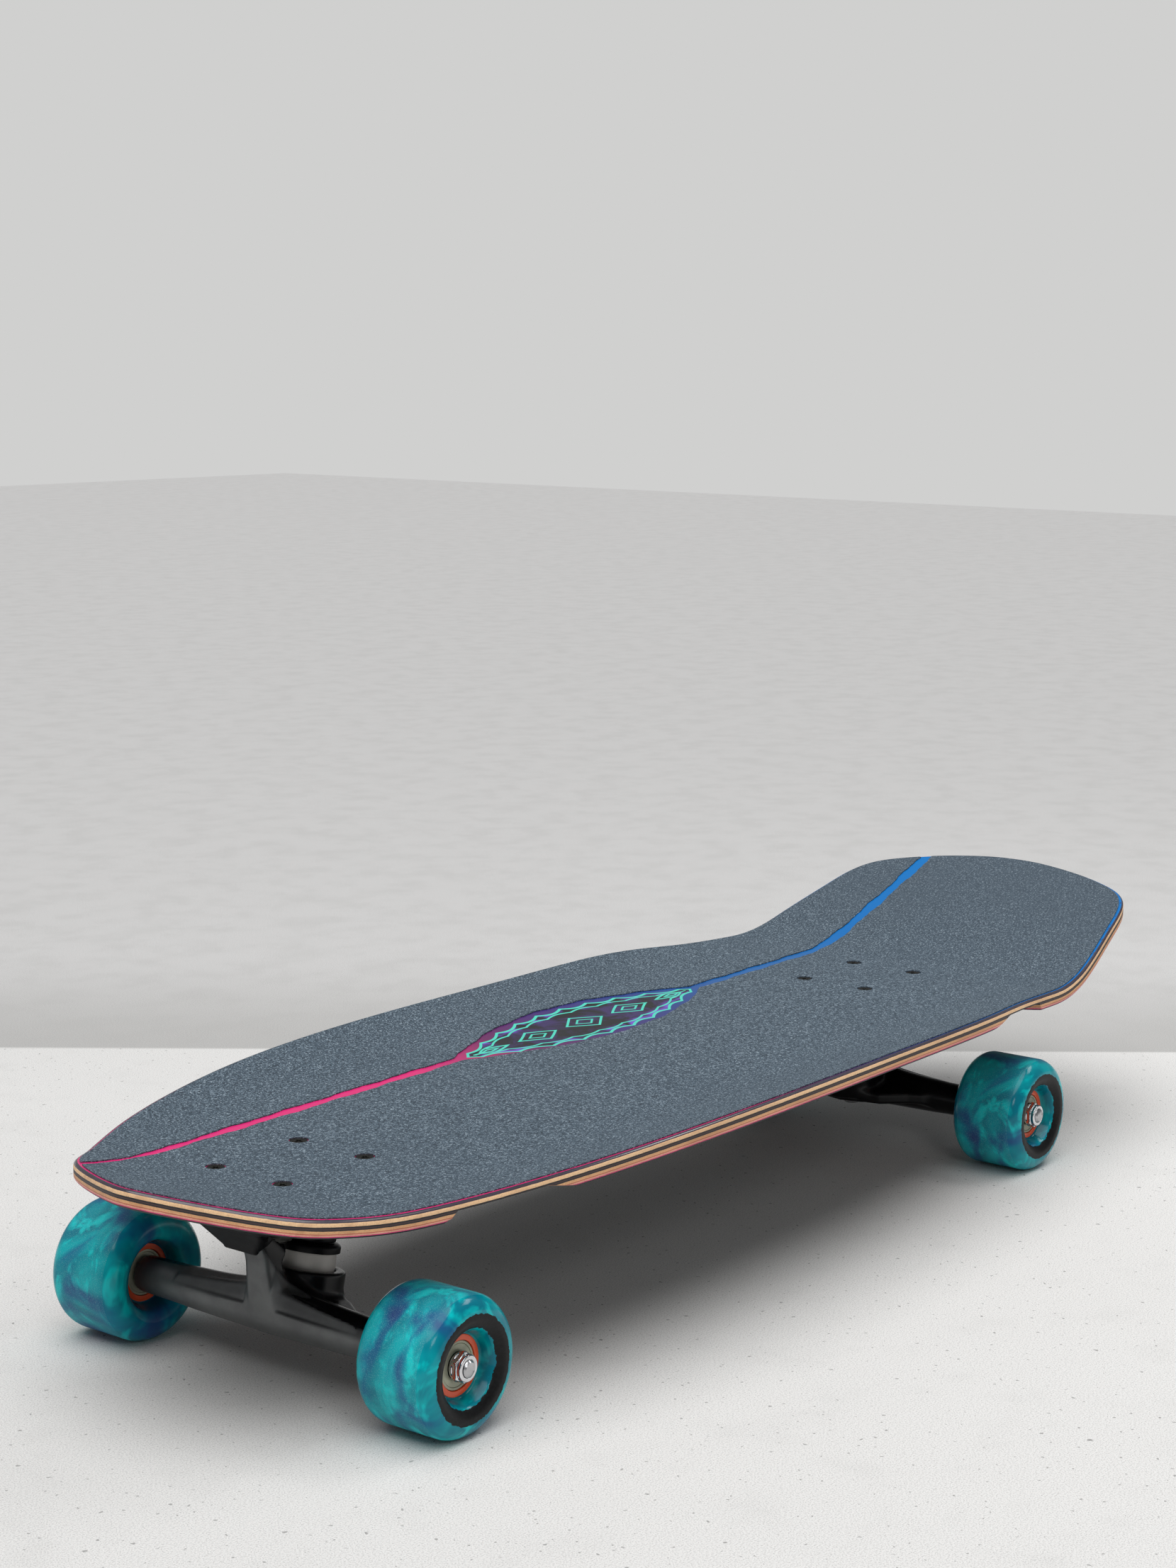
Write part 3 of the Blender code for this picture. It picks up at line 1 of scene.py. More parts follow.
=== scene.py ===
"""The looks of a cruiser skateboard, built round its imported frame.

The deck, its tape, the camera and the lights are in metres, in the frame's own axes. The pieces of the trucks
and the wheels are shaped in millimetres. A truck's own frame has its origin in the middle of the axle and its
+X points outboard, away from the middle of the board. A wheel's own frame has +Z along the axle, outboard.
"""

import math

import bmesh
import bpy
import numpy as np
from mathutils import Matrix, Vector


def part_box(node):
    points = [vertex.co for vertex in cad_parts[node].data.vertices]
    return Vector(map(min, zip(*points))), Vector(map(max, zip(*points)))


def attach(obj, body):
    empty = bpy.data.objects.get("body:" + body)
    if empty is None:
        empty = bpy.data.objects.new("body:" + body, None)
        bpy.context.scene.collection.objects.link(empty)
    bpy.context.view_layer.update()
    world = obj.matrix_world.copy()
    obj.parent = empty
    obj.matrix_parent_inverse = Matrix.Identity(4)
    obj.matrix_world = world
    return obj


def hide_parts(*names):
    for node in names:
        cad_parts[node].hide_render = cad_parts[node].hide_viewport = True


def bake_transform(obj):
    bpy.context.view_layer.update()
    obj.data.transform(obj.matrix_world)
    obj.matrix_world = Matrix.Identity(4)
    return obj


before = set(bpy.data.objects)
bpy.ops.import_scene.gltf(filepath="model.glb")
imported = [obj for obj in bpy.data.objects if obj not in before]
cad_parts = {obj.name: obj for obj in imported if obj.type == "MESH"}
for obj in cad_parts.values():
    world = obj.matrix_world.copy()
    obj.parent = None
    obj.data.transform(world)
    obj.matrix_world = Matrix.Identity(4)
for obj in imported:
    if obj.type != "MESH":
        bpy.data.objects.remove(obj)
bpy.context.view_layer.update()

MM = 0.001
ENDS = {"front": 1, "rear": -1}
SIDES = {1: "left", -1: "right"}

# The deck. Its top lies half a millimetre above its solid's, in the room that the tape's solids take.
DECK_THICKNESS = 0.0085
TOP_EDGE_RADIUS = 0.0025
BOTTOM_EDGE_RADIUS = 0.002
FLAT_STRIP_WIDTH = 0.130
RAIL_RISE = 0.0104
RAIL_DIP_SHARE = 0.514
RAIL_DIP_REACH = 0.065
RAIL_DIP_BEHIND_KICK = 0.023
KICK_BEHIND_REAR_BOLTS = 0.0304
KICK_SLOPE = 0.315
KICK_BLEND_LENGTH = 0.045
KICK_CURL = 0.16
NOSE_CURL_AHEAD_OF_BOLTS = 0.020
NOSE_CURL = 1.93
SPINE_FROM_NOSE = 0.062
SPINE_FROM_TAIL = 0.045
BOLT_HOLE_RADIUS = 0.0027

# Half the outline's cage, as shares of the length behind the nose and of the half width
OUTLINE_STEPS = 24
OUTLINE_CAGE = (
    (0.0000, 0.0000), (0.0001, 0.0609), (0.0400, 0.5335), (0.0647, 0.5906),
    (0.1097, 0.7740), (0.2392, 0.9703), (0.3968, 1.0084), (0.5387, 0.9893),
    (0.6644, 0.9970), (0.7341, 0.8942), (0.7955, 0.8790), (0.8612, 0.8440),
    (0.9181, 0.7725), (0.9754, 0.7184), (0.9999, 0.1758), (1.0001, 0.0000),
)

# Wheel wells in the deck's underside
WELL_DEPTH = 0.0046
WELL_LENGTH = 0.075
WELL_INBOARD_OF_AXLE = 0.0015
WELL_OUTBOARD_SLOPE = 0.005
WELL_INBOARD_SLOPE = 0.024
WELL_SIDE_SLOPE = 0.012
WELL_SIDE_ROOM = 0.014
WELL_EDGE = 0.0008

# Grip tape
GRIP_TOP = 0.00065
GRIP_BOTTOM = 0.0001
GRIP_MARGIN = 0.0003
GRIP_HOLE_RADIUS = 0.0047
GRIP_LEAST_WIDTH = 0.0004
GRIP_ROWS = 561
GRIP_COLUMNS = 44
STRIPE_Y = -0.058
STRIPE_HALF_NOSE = 0.0015
STRIPE_HALF_TAIL = 0.0037
STRIPE_OPENS_BY = 0.18
WINDOW_X = -0.010
WINDOW_LENGTH = 0.210
WINDOW_BOW = 0.0265

# The truck, in millimetres
PLATE_TOP = 52.7
PLATE_BOTTOM = 47.2
PLATE_AHEAD = 30.5
PLATE_LENGTH = 84.0
PLATE_WIDTH = 57.0
PLATE_CORNER = 8.0
RISER_BOTTOM = 53.0
RISER_TOP = 58.2
BOLTS_X = -11.5
BOLT_SPACING = (53.98, 41.28)
BOLT_BORE = 2.8
PIVOT = np.array((14.25, 0.0, 39.75))
STEERING_TILT = math.radians(45)
KINGPIN_TILT = math.radians(14)
RING_REACH = 45.5
SHOULDER_Y = 83.2
AXLE_RADIUS = 3.97
AXLE_END_Y = 115.9
YOKE_RADIUS = 19.2
YOKE_RIM = 8.7
RING_TOP = 4.1
RING_BOTTOM = -0.9
WHEEL_RADIUS = 32.0
WHEEL_HALF = 21.5
BEARINGS_OFFSET = 0.55

# How finely curves are cut up
SLICES = 96
FILLET_STEPS = 5
SLOPE_STEP = 0.02
WELD = 1e-6


def leaning(origin, tilt):
    """The matrix of an axis through a point, turned about Y by an angle. Lengths stay as given."""
    return Matrix.Translation(origin) @ Matrix.Rotation(tilt, 4, "Y")


STEERING = leaning(PIVOT, STEERING_TILT)
RING_CENTRE = np.array(STEERING @ Vector((0, 0, -RING_REACH)))
KINGPIN = leaning(RING_CENTRE, -KINGPIN_TILT)


# Shapes are pairs of points and faces until they become meshes.


def moved(points, matrix):
    matrix = np.array(matrix)
    return points @ matrix[:3, :3].T + matrix[:3, 3]


def together(*shapes):
    """Several shapes as one, still separate bodies."""
    starts = np.cumsum([0] + [len(points) for points, _ in shapes])
    faces = [shape_faces + start for (_, shape_faces), start in zip(shapes, starts)]
    return np.concatenate([points for points, _ in shapes]), np.concatenate(faces)


def ring_faces(rows, columns, closed=False):
    """The faces between rings of points. If closed, the last ring joins the first."""
    grid = np.arange(rows * columns).reshape(rows, columns)
    after = np.roll(grid, -1, axis=0)
    faces = np.stack([grid, after, np.roll(after, -1, axis=1), np.roll(grid, -1, axis=1)], axis=-1)
    return faces[: rows if closed else rows - 1].reshape(-1, 4)


def keep_values(mesh, name, values):
    """A number at each point of a mesh, for its finish to read."""
    attribute = mesh.attributes.new(name, "FLOAT", "POINT")
    attribute.data.foreach_set("value", values.astype(np.float32).ravel())


def mesh_of(name, shape, sharp, weld=0.0, depths=None):
    """A mesh of a shape in metres, smooth but for edges sharper than an angle in degrees."""
    points, faces = shape
    mesh = bpy.data.meshes.new(name)
    mesh.from_pydata(points.tolist(), [], faces.tolist())
    if depths is not None:
        keep_values(mesh, "depth", depths)
    bm = bmesh.new()
    bm.from_mesh(mesh)
    if weld:
        bmesh.ops.remove_doubles(bm, verts=bm.verts[:], dist=weld)
        bmesh.ops.dissolve_degenerate(bm, edges=bm.edges[:], dist=weld)
    bmesh.ops.recalc_face_normals(bm, faces=bm.faces[:])
    bm.to_mesh(mesh)
    bm.free()
    mesh.shade_smooth()
    mesh.set_sharp_from_angle(angle=math.radians(sharp))
    return mesh


def mesh_in_mm(name, shape, matrix=Matrix(), sharp=40, weld=WELD):
    """A mesh of a shape in millimetres, moved by a matrix."""
    points, faces = shape
    return mesh_of(name, (moved(points, matrix) * MM, faces), sharp, weld)


def new_object(name, data, matrix=Matrix()):
    obj = bpy.data.objects.new(name, data)
    bpy.context.scene.collection.objects.link(obj)
    obj.matrix_world = matrix
    return obj


def dress(node, ending, mesh, slot, body, matrix=Matrix(), finish=None, holes=0.0):
    """A piece that stands for a node and rides on a body, in its slot's finish unless another is named."""
    if not mesh.materials:
        mesh.materials.append(FINISHES[finish or slot])
    piece = new_object(f"{node}_{ending}", mesh, matrix)
    if holes:
        punch(piece, holes)
    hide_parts(node)
    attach(piece, body)


# Turned pieces


def filleted(profile, closed=False):
    """A profile whose corners are curves. Each entry is a radius, a height and how far the curve reaches."""
    points = []
    count = len(profile)
    for i, (radius, height, reach) in enumerate(profile):
        corner = np.array((radius, height), float)
        if reach == 0 or (not closed and i in (0, count - 1)):
            points.append(corner)
            continue
        ends = []
        for neighbour in (profile[i - 1], profile[(i + 1) % count]):
            way = np.array(neighbour[:2]) - corner
            length = np.linalg.norm(way)
            ends.append(corner + way / length * min(reach, length * 0.5))
        for share in np.linspace(0, 1, FILLET_STEPS):
            points.append(ends[0] * (1 - share) ** 2 + 2 * share * (1 - share) * corner + ends[1] * share**2)
    return np.array(points)


def turned(profile, segments, closed=False, wave=None):
    """A shape of revolution about Z. A wave adds to the radius, by angle and height, as a thread does."""
    profile = np.array(profile)
    angles = np.linspace(0, 2 * math.pi, segments, endpoint=False)
    radius, height = (np.repeat(values[:, None], segments, axis=1) for values in profile.T)
    if wave is not None:
        radius = radius + wave(angles[None, :], height) * (radius > 0)
    points = np.stack([radius * np.cos(angles), radius * np.sin(angles), height], axis=-1)
    return points.reshape(-1, 3), ring_faces(len(profile), segments, closed)


def ring_shape(*profile):
    return turned(filleted(profile, closed=True), SLICES, closed=True)


def mirrored(*half):
    """A profile and its mirror image below the middle."""
    return [*half, *((radius, -height, reach) for radius, height, reach in reversed(half))]


# Cast pieces, from distance functions


def smooth_min(a, b, reach):
    """Two shapes joined, with a fillet in the corner between them."""
    share = np.clip(0.5 + 0.5 * (b - a) / reach, 0, 1)
    return b + (a - b) * share - reach * share * (1 - share)


def smooth_max(a, b, reach):
    """What two shapes share, with its edges rounded."""
    return -smooth_min(-a, -b, reach)


def cut(a, b, reach):
    return smooth_max(a, -b, reach)


def column(points, matrix, radius, bottom, top, edge=0.0):
    """The distance to a round bar about a matrix's Z. The radius may be a pair, at the bottom and the top."""
    x, y, z = moved(points, matrix.inverted()).T
    low, high = radius if isinstance(radius, tuple) else (radius, radius)
    slope = (high - low) / (top - bottom)
    side = (np.hypot(x, y) - low - slope * (z - bottom)) / math.hypot(1, slope)
    ends = np.maximum(bottom - z, z - top)
    return smooth_max(side, ends, edge) if edge else np.maximum(side, ends)


def rounded_plate(points, low, high, corner, edge):
    """The distance to a plate between two opposite corners, with round corners in plan."""
    low, high = np.array(low), np.array(high)
    x, y, z = (np.abs(points - (low + high) / 2) - (high - low) / 2 + (corner, corner, 0)).T
    plan = np.hypot(np.maximum(x, 0), np.maximum(y, 0)) + np.minimum(np.maximum(x, y), 0) - corner
    return smooth_max(plan, z, edge)


def hexagon(x, y, across_flats):
    sides = [np.abs(x * math.cos(a) + y * math.sin(a)) for a in (0, math.pi / 3, 2 * math.pi / 3)]
    return np.max(sides, axis=0) - across_flats / 2


def sculpted(distance, low, high, cell):
    """The surface on which a distance function is zero, between two corners, by surface nets."""
    sizes = [int(math.ceil((b - a) / cell)) + 4 for a, b in zip(low, high)]
    origin = np.array(low) - 1.5 * cell
    axes = [origin[k] + cell * np.arange(sizes[k]) for k in range(3)]
    grid = np.stack(np.meshgrid(*axes, indexing="ij"), axis=-1)
    values = distance(grid.reshape(-1, 3)).reshape(sizes)
    inside = values < 0
    corners = [(i, j, k) for i in (0, 1) for j in (0, 1) for k in (0, 1)]
    parts = [inside[i : sizes[0] - 1 + i, j : sizes[1] - 1 + j, k : sizes[2] - 1 + k] for i, j, k in corners]
    mixed = np.any(parts, axis=0) & ~np.all(parts, axis=0)
    cells = np.argwhere(mixed)
    total = np.zeros((len(cells), 3))
    count = np.zeros(len(cells))
    steps = np.eye(3, dtype=int)
    for axis in range(3):
        for corner in corners:
            if corner[axis]:
                continue
            start = cells + corner
            a = values[tuple(start.T)]
            b = values[tuple((start + steps[axis]).T)]
            crosses = (a < 0) != (b < 0)
            share = np.where(crosses, a / np.where(crosses, a - b, 1), 0)
            total += (start + share[:, None] * steps[axis]) * crosses[:, None]
            count += crosses
    points = origin + cell * total / count[:, None]
    number = np.full(mixed.shape, -1)
    number[mixed] = np.arange(len(cells))
    faces = []
    for axis in range(3):
        step_u = steps[(axis + 1) % 3]
        step_v = steps[(axis + 2) % 3]
        near = np.moveaxis(inside, axis, 0)[:-1]
        far = np.moveaxis(inside, axis, 0)[1:]
        starts = np.argwhere(np.moveaxis(near != far, 0, axis))
        outward = inside[tuple(starts.T)]
        around = (starts, starts - step_u, starts - step_u - step_v, starts - step_v)
        quads = np.stack([number[tuple(c.T)] for c in around], axis=1)
        quads[~outward] = quads[~outward][:, ::-1]
        faces.append(quads)
    for _ in range(3):
        points = settled(points, distance, cell)
    return points, np.concatenate(faces)


def settled(points, distance, cell):
    """Points moved along the slope of a distance function onto its surface."""
    steps = SLOPE_STEP * np.eye(3)
    rises = [distance(points + step) - distance(points - step) for step in steps]
    slope = np.stack(rises, axis=1) / (2 * SLOPE_STEP)
    steepness = np.maximum(np.sum(slope**2, axis=1), 0.2)
    move = -(distance(points) / steepness)[:, None] * slope
    reach = np.linalg.norm(move, axis=1)
    return points + move * np.minimum(1, 0.5 * cell / np.maximum(reach, 1e-9))[:, None]


# Materials


def srgb(red, green, blue):
    """A colour read on screen, from 0 to 255, as the linear colour that a shader takes."""
    shares = [value / 255 for value in (red, green, blue)]
    return tuple(s / 12.92 if s <= 0.04045 else ((s + 0.055) / 1.055) ** 2.4 for s in shares)


class Finish:
    """A material and the nodes that paint it. A value is a number, a colour or another node's output."""

    def __init__(self, name):
        self.material = bpy.data.materials.new(name)
        self.material.use_nodes = True
        self.tree = self.material.node_tree
        self.place = self.tree.nodes.new("ShaderNodeTexCoord").outputs["Object"]

    def plug(self, socket, value):
        if isinstance(value, bpy.types.NodeSocket):
            self.tree.links.new(value, socket)
        elif isinstance(value, tuple) and socket.type == "RGBA":
            socket.default_value = (*value, 1.0)
        else:
            socket.default_value = value

    def node(self, kind, inputs, output=0, **settings):
        made = self.tree.nodes.new("ShaderNode" + kind)
        for key, value in settings.items():
            setattr(made, key, value)
        for key, value in inputs.items():
            self.plug(made.inputs[key], value)
        return made.outputs[output]

    def painted(self, **values):
        """The material, with values for its shader. An underscore in a name stands for a space."""
        shader = self.tree.nodes["Principled BSDF"]
        for key, value in values.items():
            self.plug(shader.inputs[key.replace("_", " ")], value)
        return self.material

    def math(self, operation, a, b=0.0, clamp=False):
        return self.node("Math", {0: a, 1: b}, operation=operation, use_clamp=clamp)

    def plus(self, a, b):
        return self.math("ADD", a, b)

    def minus(self, a, b):
        return self.math("SUBTRACT", a, b)

    def times(self, a, b):
        return self.math("MULTIPLY", a, b)

    def over(self, a, b):
        return self.math("DIVIDE", a, b)

    def size_of(self, value):
        return self.math("ABSOLUTE", value)

    def mix(self, share, a, b, blend="MIX"):
        return self.node("Mix", {0: share, 6: a, 7: b}, 2, data_type="RGBA", blend_type=blend)

    def between(self, share, a, b):
        """A number between two others."""
        return self.node("Mix", {0: share, 2: a, 3: b}, data_type="FLOAT")

    def range(self, value, low, high, to_low=0.0, to_high=1.0, kind="SMOOTHSTEP"):
        inputs = {0: value, 1: low, 2: high, 3: to_low, 4: to_high}
        return self.node("MapRange", inputs, interpolation_type=kind, clamp=True)

    def noise(self, scale, detail=3.0, roughness=0.5, distortion=0.0, place=None):
        inputs = {"Scale": scale, "Detail": detail, "Roughness": roughness, "Distortion": distortion}
        return self.node("TexNoise", {"Vector": place or self.place, **inputs})

    def ramp(self, value, stops, interpolation="LINEAR"):
        made = self.tree.nodes.new("ShaderNodeValToRGB")
        made.color_ramp.interpolation = interpolation
        elements = made.color_ramp.elements
        while len(elements) < len(stops):
            elements.new(0.5)
        for element, (position, colour) in zip(elements, stops):
            element.position = position
            element.color = (*colour, 1.0)
        self.plug(made.inputs[0], value)
        return made.outputs[0]

    def stretched(self, x, y, z):
        """The coordinates multiplied along each axis, so that a pattern is drawn out."""
        return self.node("VectorMath", {0: self.place, 1: (x, y, z)}, operation="MULTIPLY")

    def axis(self, name):
        return self.node("SeparateXYZ", {0: self.place}, "XYZ".index(name))

    def attribute(self, name):
        return self.node("Attribute", {}, "Fac", attribute_name=name)

    def bump(self, height, distance, strength):
        return self.node("Bump", {"Height": height, "Distance": distance, "Strength": strength})


# Places read from the frame

deck_low, deck_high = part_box("deck")
DECK_LENGTH = deck_high.x - deck_low.x
DECK_WIDTH = deck_high.y - deck_low.y
DECK_TOP_Z = deck_low.z + DECK_THICKNESS


def middle_of(node):
    low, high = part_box(node)
    return (low + high) / 2


AXLE_X = {end: middle_of(f"{end}_axle").x for end in ENDS}
BOLTS_CENTRE_X = {end: AXLE_X[end] + heading * BOLTS_X * MM for end, heading in ENDS.items()}
KICK_START_X = BOLTS_CENTRE_X["rear"] - KICK_BEHIND_REAR_BOLTS
NOSE_CURL_START_X = BOLTS_CENTRE_X["front"] + NOSE_CURL_AHEAD_OF_BOLTS
WHEEL_Y = abs(middle_of("front_left_wheel_tyre").y)


def truck_matrix(end):
    """Where a truck's frame is in the world. Its meshes are in metres by then."""
    turn = Matrix.Rotation(0 if ENDS[end] > 0 else math.pi, 4, "Z")
    return Matrix.Translation(middle_of(f"{end}_axle")) @ turn


def bolt_places(end):
    return [middle_of(f"{end}_mounting_bolt_{i}") for i in range(1, 5)]


# The deck and its tape


def rise(x, y):
    """How far the deck's top lies above its level middle."""
    half_strip = FLAT_STRIP_WIDTH / 2
    rail = np.maximum(np.abs(y) - half_strip, 0) / (DECK_WIDTH / 2 - half_strip)
    from_dip = (x - KICK_START_X + RAIL_DIP_BEHIND_KICK) / RAIL_DIP_REACH
    height = RAIL_RISE * (1 - RAIL_DIP_SHARE * np.exp(-(from_dip**2))) * rail**2
    back = np.maximum(KICK_START_X - x, 0)
    past = np.maximum(back - KICK_BLEND_LENGTH, 0)
    blend = np.minimum(back, KICK_BLEND_LENGTH)
    height += KICK_SLOPE * (blend**2 / (2 * KICK_BLEND_LENGTH) + past) + KICK_CURL * past**2
    return height + NOSE_CURL * np.maximum(x - NOSE_CURL_START_X, 0) ** 2


def on_deck(x, y, depth):
    """Points below the deck's top, by a depth measured square to it."""
    step = 0.0005
    slope_x = (rise(x + step, y) - rise(x - step, y)) / (2 * step)
    slope_y = (rise(x, y + step) - rise(x, y - step)) / (2 * step)
    z = DECK_TOP_Z + rise(x, y) - depth * np.sqrt(1 + slope_x**2 + slope_y**2)
    return np.stack([x, y, z], axis=-1)


def well_share(x, y):
    """How far the wells are open over a place: 0 outside them, 1 on their level ceiling."""
    inner_y = WHEEL_Y - (WHEEL_HALF * MM) - WELL_SIDE_ROOM
    across = np.clip((np.abs(y) - inner_y) / WELL_SIDE_SLOPE, 0, 1)
    share = np.zeros_like(x)
    for end, heading in ENDS.items():
        inboard = heading * (AXLE_X[end] - x) - WELL_INBOARD_OF_AXLE
        start = np.clip(inboard / WELL_OUTBOARD_SLOPE, 0, 1)
        stop = np.clip((WELL_LENGTH - inboard) / WELL_INBOARD_SLOPE, 0, 1)
        share = np.maximum(share, start * stop * across)
    return share


def deck_outline():
    """The deck's plan outline and its outward normals, anticlockwise from above, by a cubic B-spline."""
    half = np.array([(-share, width) for share, width in OUTLINE_CAGE])
    loop = np.concatenate([half, half[-2:0:-1] * (1, -1)])
    cage = np.stack([np.roll(loop, shift, axis=0) for shift in (1, 0, -1, -2)], axis=1)
    t = np.arange(OUTLINE_STEPS)[:, None] / OUTLINE_STEPS
    weights = np.hstack([(1 - t) ** 3, 3 * t**3 - 6 * t**2 + 4, -3 * t**3 + 3 * t**2 + 3 * t + 1, t**3]) / 6
    slopes = np.hstack([-((1 - t) ** 2), 3 * t**2 - 4 * t, -3 * t**2 + 2 * t + 1, t**2]) / 2
    points = (weights @ cage).reshape(-1, 2)
    nose, tail = points[:, 0].max(), points[:, 0].min()
    scale = np.array((DECK_LENGTH / (nose - tail), DECK_WIDTH / 2 / points[:, 1].max()))
    points = (points - ((nose + tail) / 2, 0)) * scale
    tangents = (slopes @ cage).reshape(-1, 2) * scale
    normals = np.stack([tangents[:, 1], -tangents[:, 0]], axis=1)
    return points, normals / np.linalg.norm(normals, axis=1)[:, None]


def deck_shape():
    """The deck as rings round its outline, and how deep each point lies in its plies, from 0 to 1."""
    outline, normals = deck_outline()
    spine_front = DECK_LENGTH / 2 - SPINE_FROM_NOSE
    spine_rear = -DECK_LENGTH / 2 + SPINE_FROM_TAIL

    # Each station has its inset, its depth and its share of the way from the spine to the edge.
    # They lie closer together where the rails rise and where the wells are cut.
    top_shares = np.concatenate([np.linspace(0, 0.5, 6), np.linspace(0.5, 1, 22)[1:]])
    bottom_shares = np.concatenate([np.linspace(0, 0.42, 5), np.linspace(0.42, 1, 44)[1:]])
    stations = [(TOP_EDGE_RADIUS, 0.0, share) for share in top_shares[:-1]]
    for angle in np.linspace(0, math.pi / 2, 8):
        inset = TOP_EDGE_RADIUS * (1 - math.sin(angle))
        stations.append((inset, TOP_EDGE_RADIUS * (1 - math.cos(angle)), 1.0))
    straight = DECK_THICKNESS - TOP_EDGE_RADIUS - BOTTOM_EDGE_RADIUS
    stations += [(0.0, TOP_EDGE_RADIUS + straight * share, 1.0) for share in np.linspace(0, 1, 8)[1:-1]]
    for angle in np.linspace(0, math.pi / 2, 6):
        inset = BOTTOM_EDGE_RADIUS * (1 - math.cos(angle))
        stations.append((inset, DECK_THICKNESS - BOTTOM_EDGE_RADIUS * (1 - math.sin(angle)), 1.0))
    stations += [(BOTTOM_EDGE_RADIUS, DECK_THICKNESS, share) for share in bottom_shares[-2::-1]]

    rings = []
    depths = []
    for inset, depth, share in stations:
        edge = outline - inset * normals
        spine = np.stack([np.clip(edge[:, 0], spine_rear, spine_front), 0 * edge[:, 1]], axis=1)
        x, y = (spine + (edge - spine) * share).T
        ceiling = DECK_THICKNESS + MM - (WELL_DEPTH + MM) * well_share(x, y)
        sunk = np.minimum(smooth_min(np.full_like(x, depth), ceiling, WELL_EDGE), depth)
        rings.append(on_deck(x, y, sunk))
        depths.append(sunk / DECK_THICKNESS)
    faces = ring_faces(len(rings), len(outline))
    return (np.concatenate(rings), faces), np.concatenate(depths)


def punch(obj, radius):
    """Cuts the holes for the mounting bolts."""
    reach = 0.04
    bar, faces = turned([(0, reach), (radius, reach), (radius, -reach), (0, -reach)], 32)
    places = [place for end in ENDS for place in bolt_places(end)]
    bars = [(bar + (place.x, place.y, DECK_TOP_Z), faces) for place in places]
    cutter = new_object("bolt_bars", mesh_of("bolt_bars", together(*bars), 35, WELD))
    modifier = obj.modifiers.new("bolt holes", "BOOLEAN")
    modifier.operation = "DIFFERENCE"
    modifier.solver = "EXACT"
    modifier.object = cutter
    bpy.context.view_layer.update()
    graph = bpy.context.evaluated_depsgraph_get()
    mesh = bpy.data.meshes.new_from_object(obj.evaluated_get(graph))
    obj.modifiers.clear()
    obj.data = mesh
    bpy.data.objects.remove(cutter, do_unlink=True)
    mesh.set_sharp_from_angle(angle=math.radians(35))


def ragged(x, side):
    """The hand-cut edge of the tape: how far it strays from the line that it was cut along."""
    turn = 1.7 * side
    waves = ((0.044, 0.00055, 0.3), (0.019, 0.00030, 2.1), (0.0071, 0.00016, 4.4))
    return sum(size * np.sin(2 * math.pi * x / length + phase + turn) for length, size, phase in waves)


def stripe_edge(x, side):
    """Where one piece of tape ends along the stripe, which opens into the lens-shaped window."""
    toward_tail = (DECK_LENGTH / 2 - x) / DECK_LENGTH
    opening = np.minimum(toward_tail / STRIPE_OPENS_BY, 1)
    half = STRIPE_HALF_NOSE + (STRIPE_HALF_TAIL - STRIPE_HALF_NOSE) * opening
    along = np.clip((x - WINDOW_X) / (WINDOW_LENGTH / 2), -1, 1)
    return STRIPE_Y + side * (half + WINDOW_BOW * (1 - along**2)) + ragged(x, side)


def make_grip(side):
    """One piece of tape, from the stripe out to the rounding of the deck's edge."""
    outline, normals = deck_outline()
    edge = outline - (TOP_EDGE_RADIUS + GRIP_MARGIN) * normals
    upper = edge[edge[:, 1] >= 0]
    upper = upper[np.argsort(upper[:, 0])]
    span = upper[-1, 0] - upper[0, 0]
    turns = np.linspace(0, math.pi, GRIP_ROWS)
    x = (upper[-1, 0] + upper[0, 0]) / 2 - span / 2 * np.cos(turns) * (1 - 1e-5)
    half = np.interp(x, upper[:, 0], upper[:, 1])
    if side > 0:
        low = np.maximum(stripe_edge(x, side), -half)
        high = half
    else:
        low = -half
        high = stripe_edge(x, side)
        kept = high - low > GRIP_LEAST_WIDTH
        x, low, high = x[kept], low[kept], high[kept]
    grid_x = np.repeat(x[:, None], GRIP_COLUMNS, axis=1)
    grid_y = low[:, None] + (high - low)[:, None] * np.linspace(0, 1, GRIP_COLUMNS)
    layers = [on_deck(grid_x, grid_y, -height).reshape(-1, 3) for height in (GRIP_TOP, GRIP_BOTTOM)]

    grid = np.arange(grid_x.size).reshape(-1, GRIP_COLUMNS)
    top = np.stack([grid[:-1, :-1], grid[1:, :-1], grid[1:, 1:], grid[:-1, 1:]], axis=-1).reshape(-1, 4)
    bottom = top[:, (0, 3, 2, 1)] + grid.size
    border = np.concatenate([grid[:, 0], grid[-1, 1:], grid[-2::-1, -1], grid[0, -2:0:-1]])
    after = np.roll(border, -1)
    rim = np.stack([border, after, after + grid.size, border + grid.size], axis=1)
    node = f"grip_tape_{SIDES[side]}"
    mesh = mesh_of(f"{node}_sheet", (np.concatenate(layers), np.concatenate([top, bottom, rim])), 45)
    dress(node, "sheet", mesh, "grip", "board", holes=GRIP_HOLE_RADIUS)


# The hanger

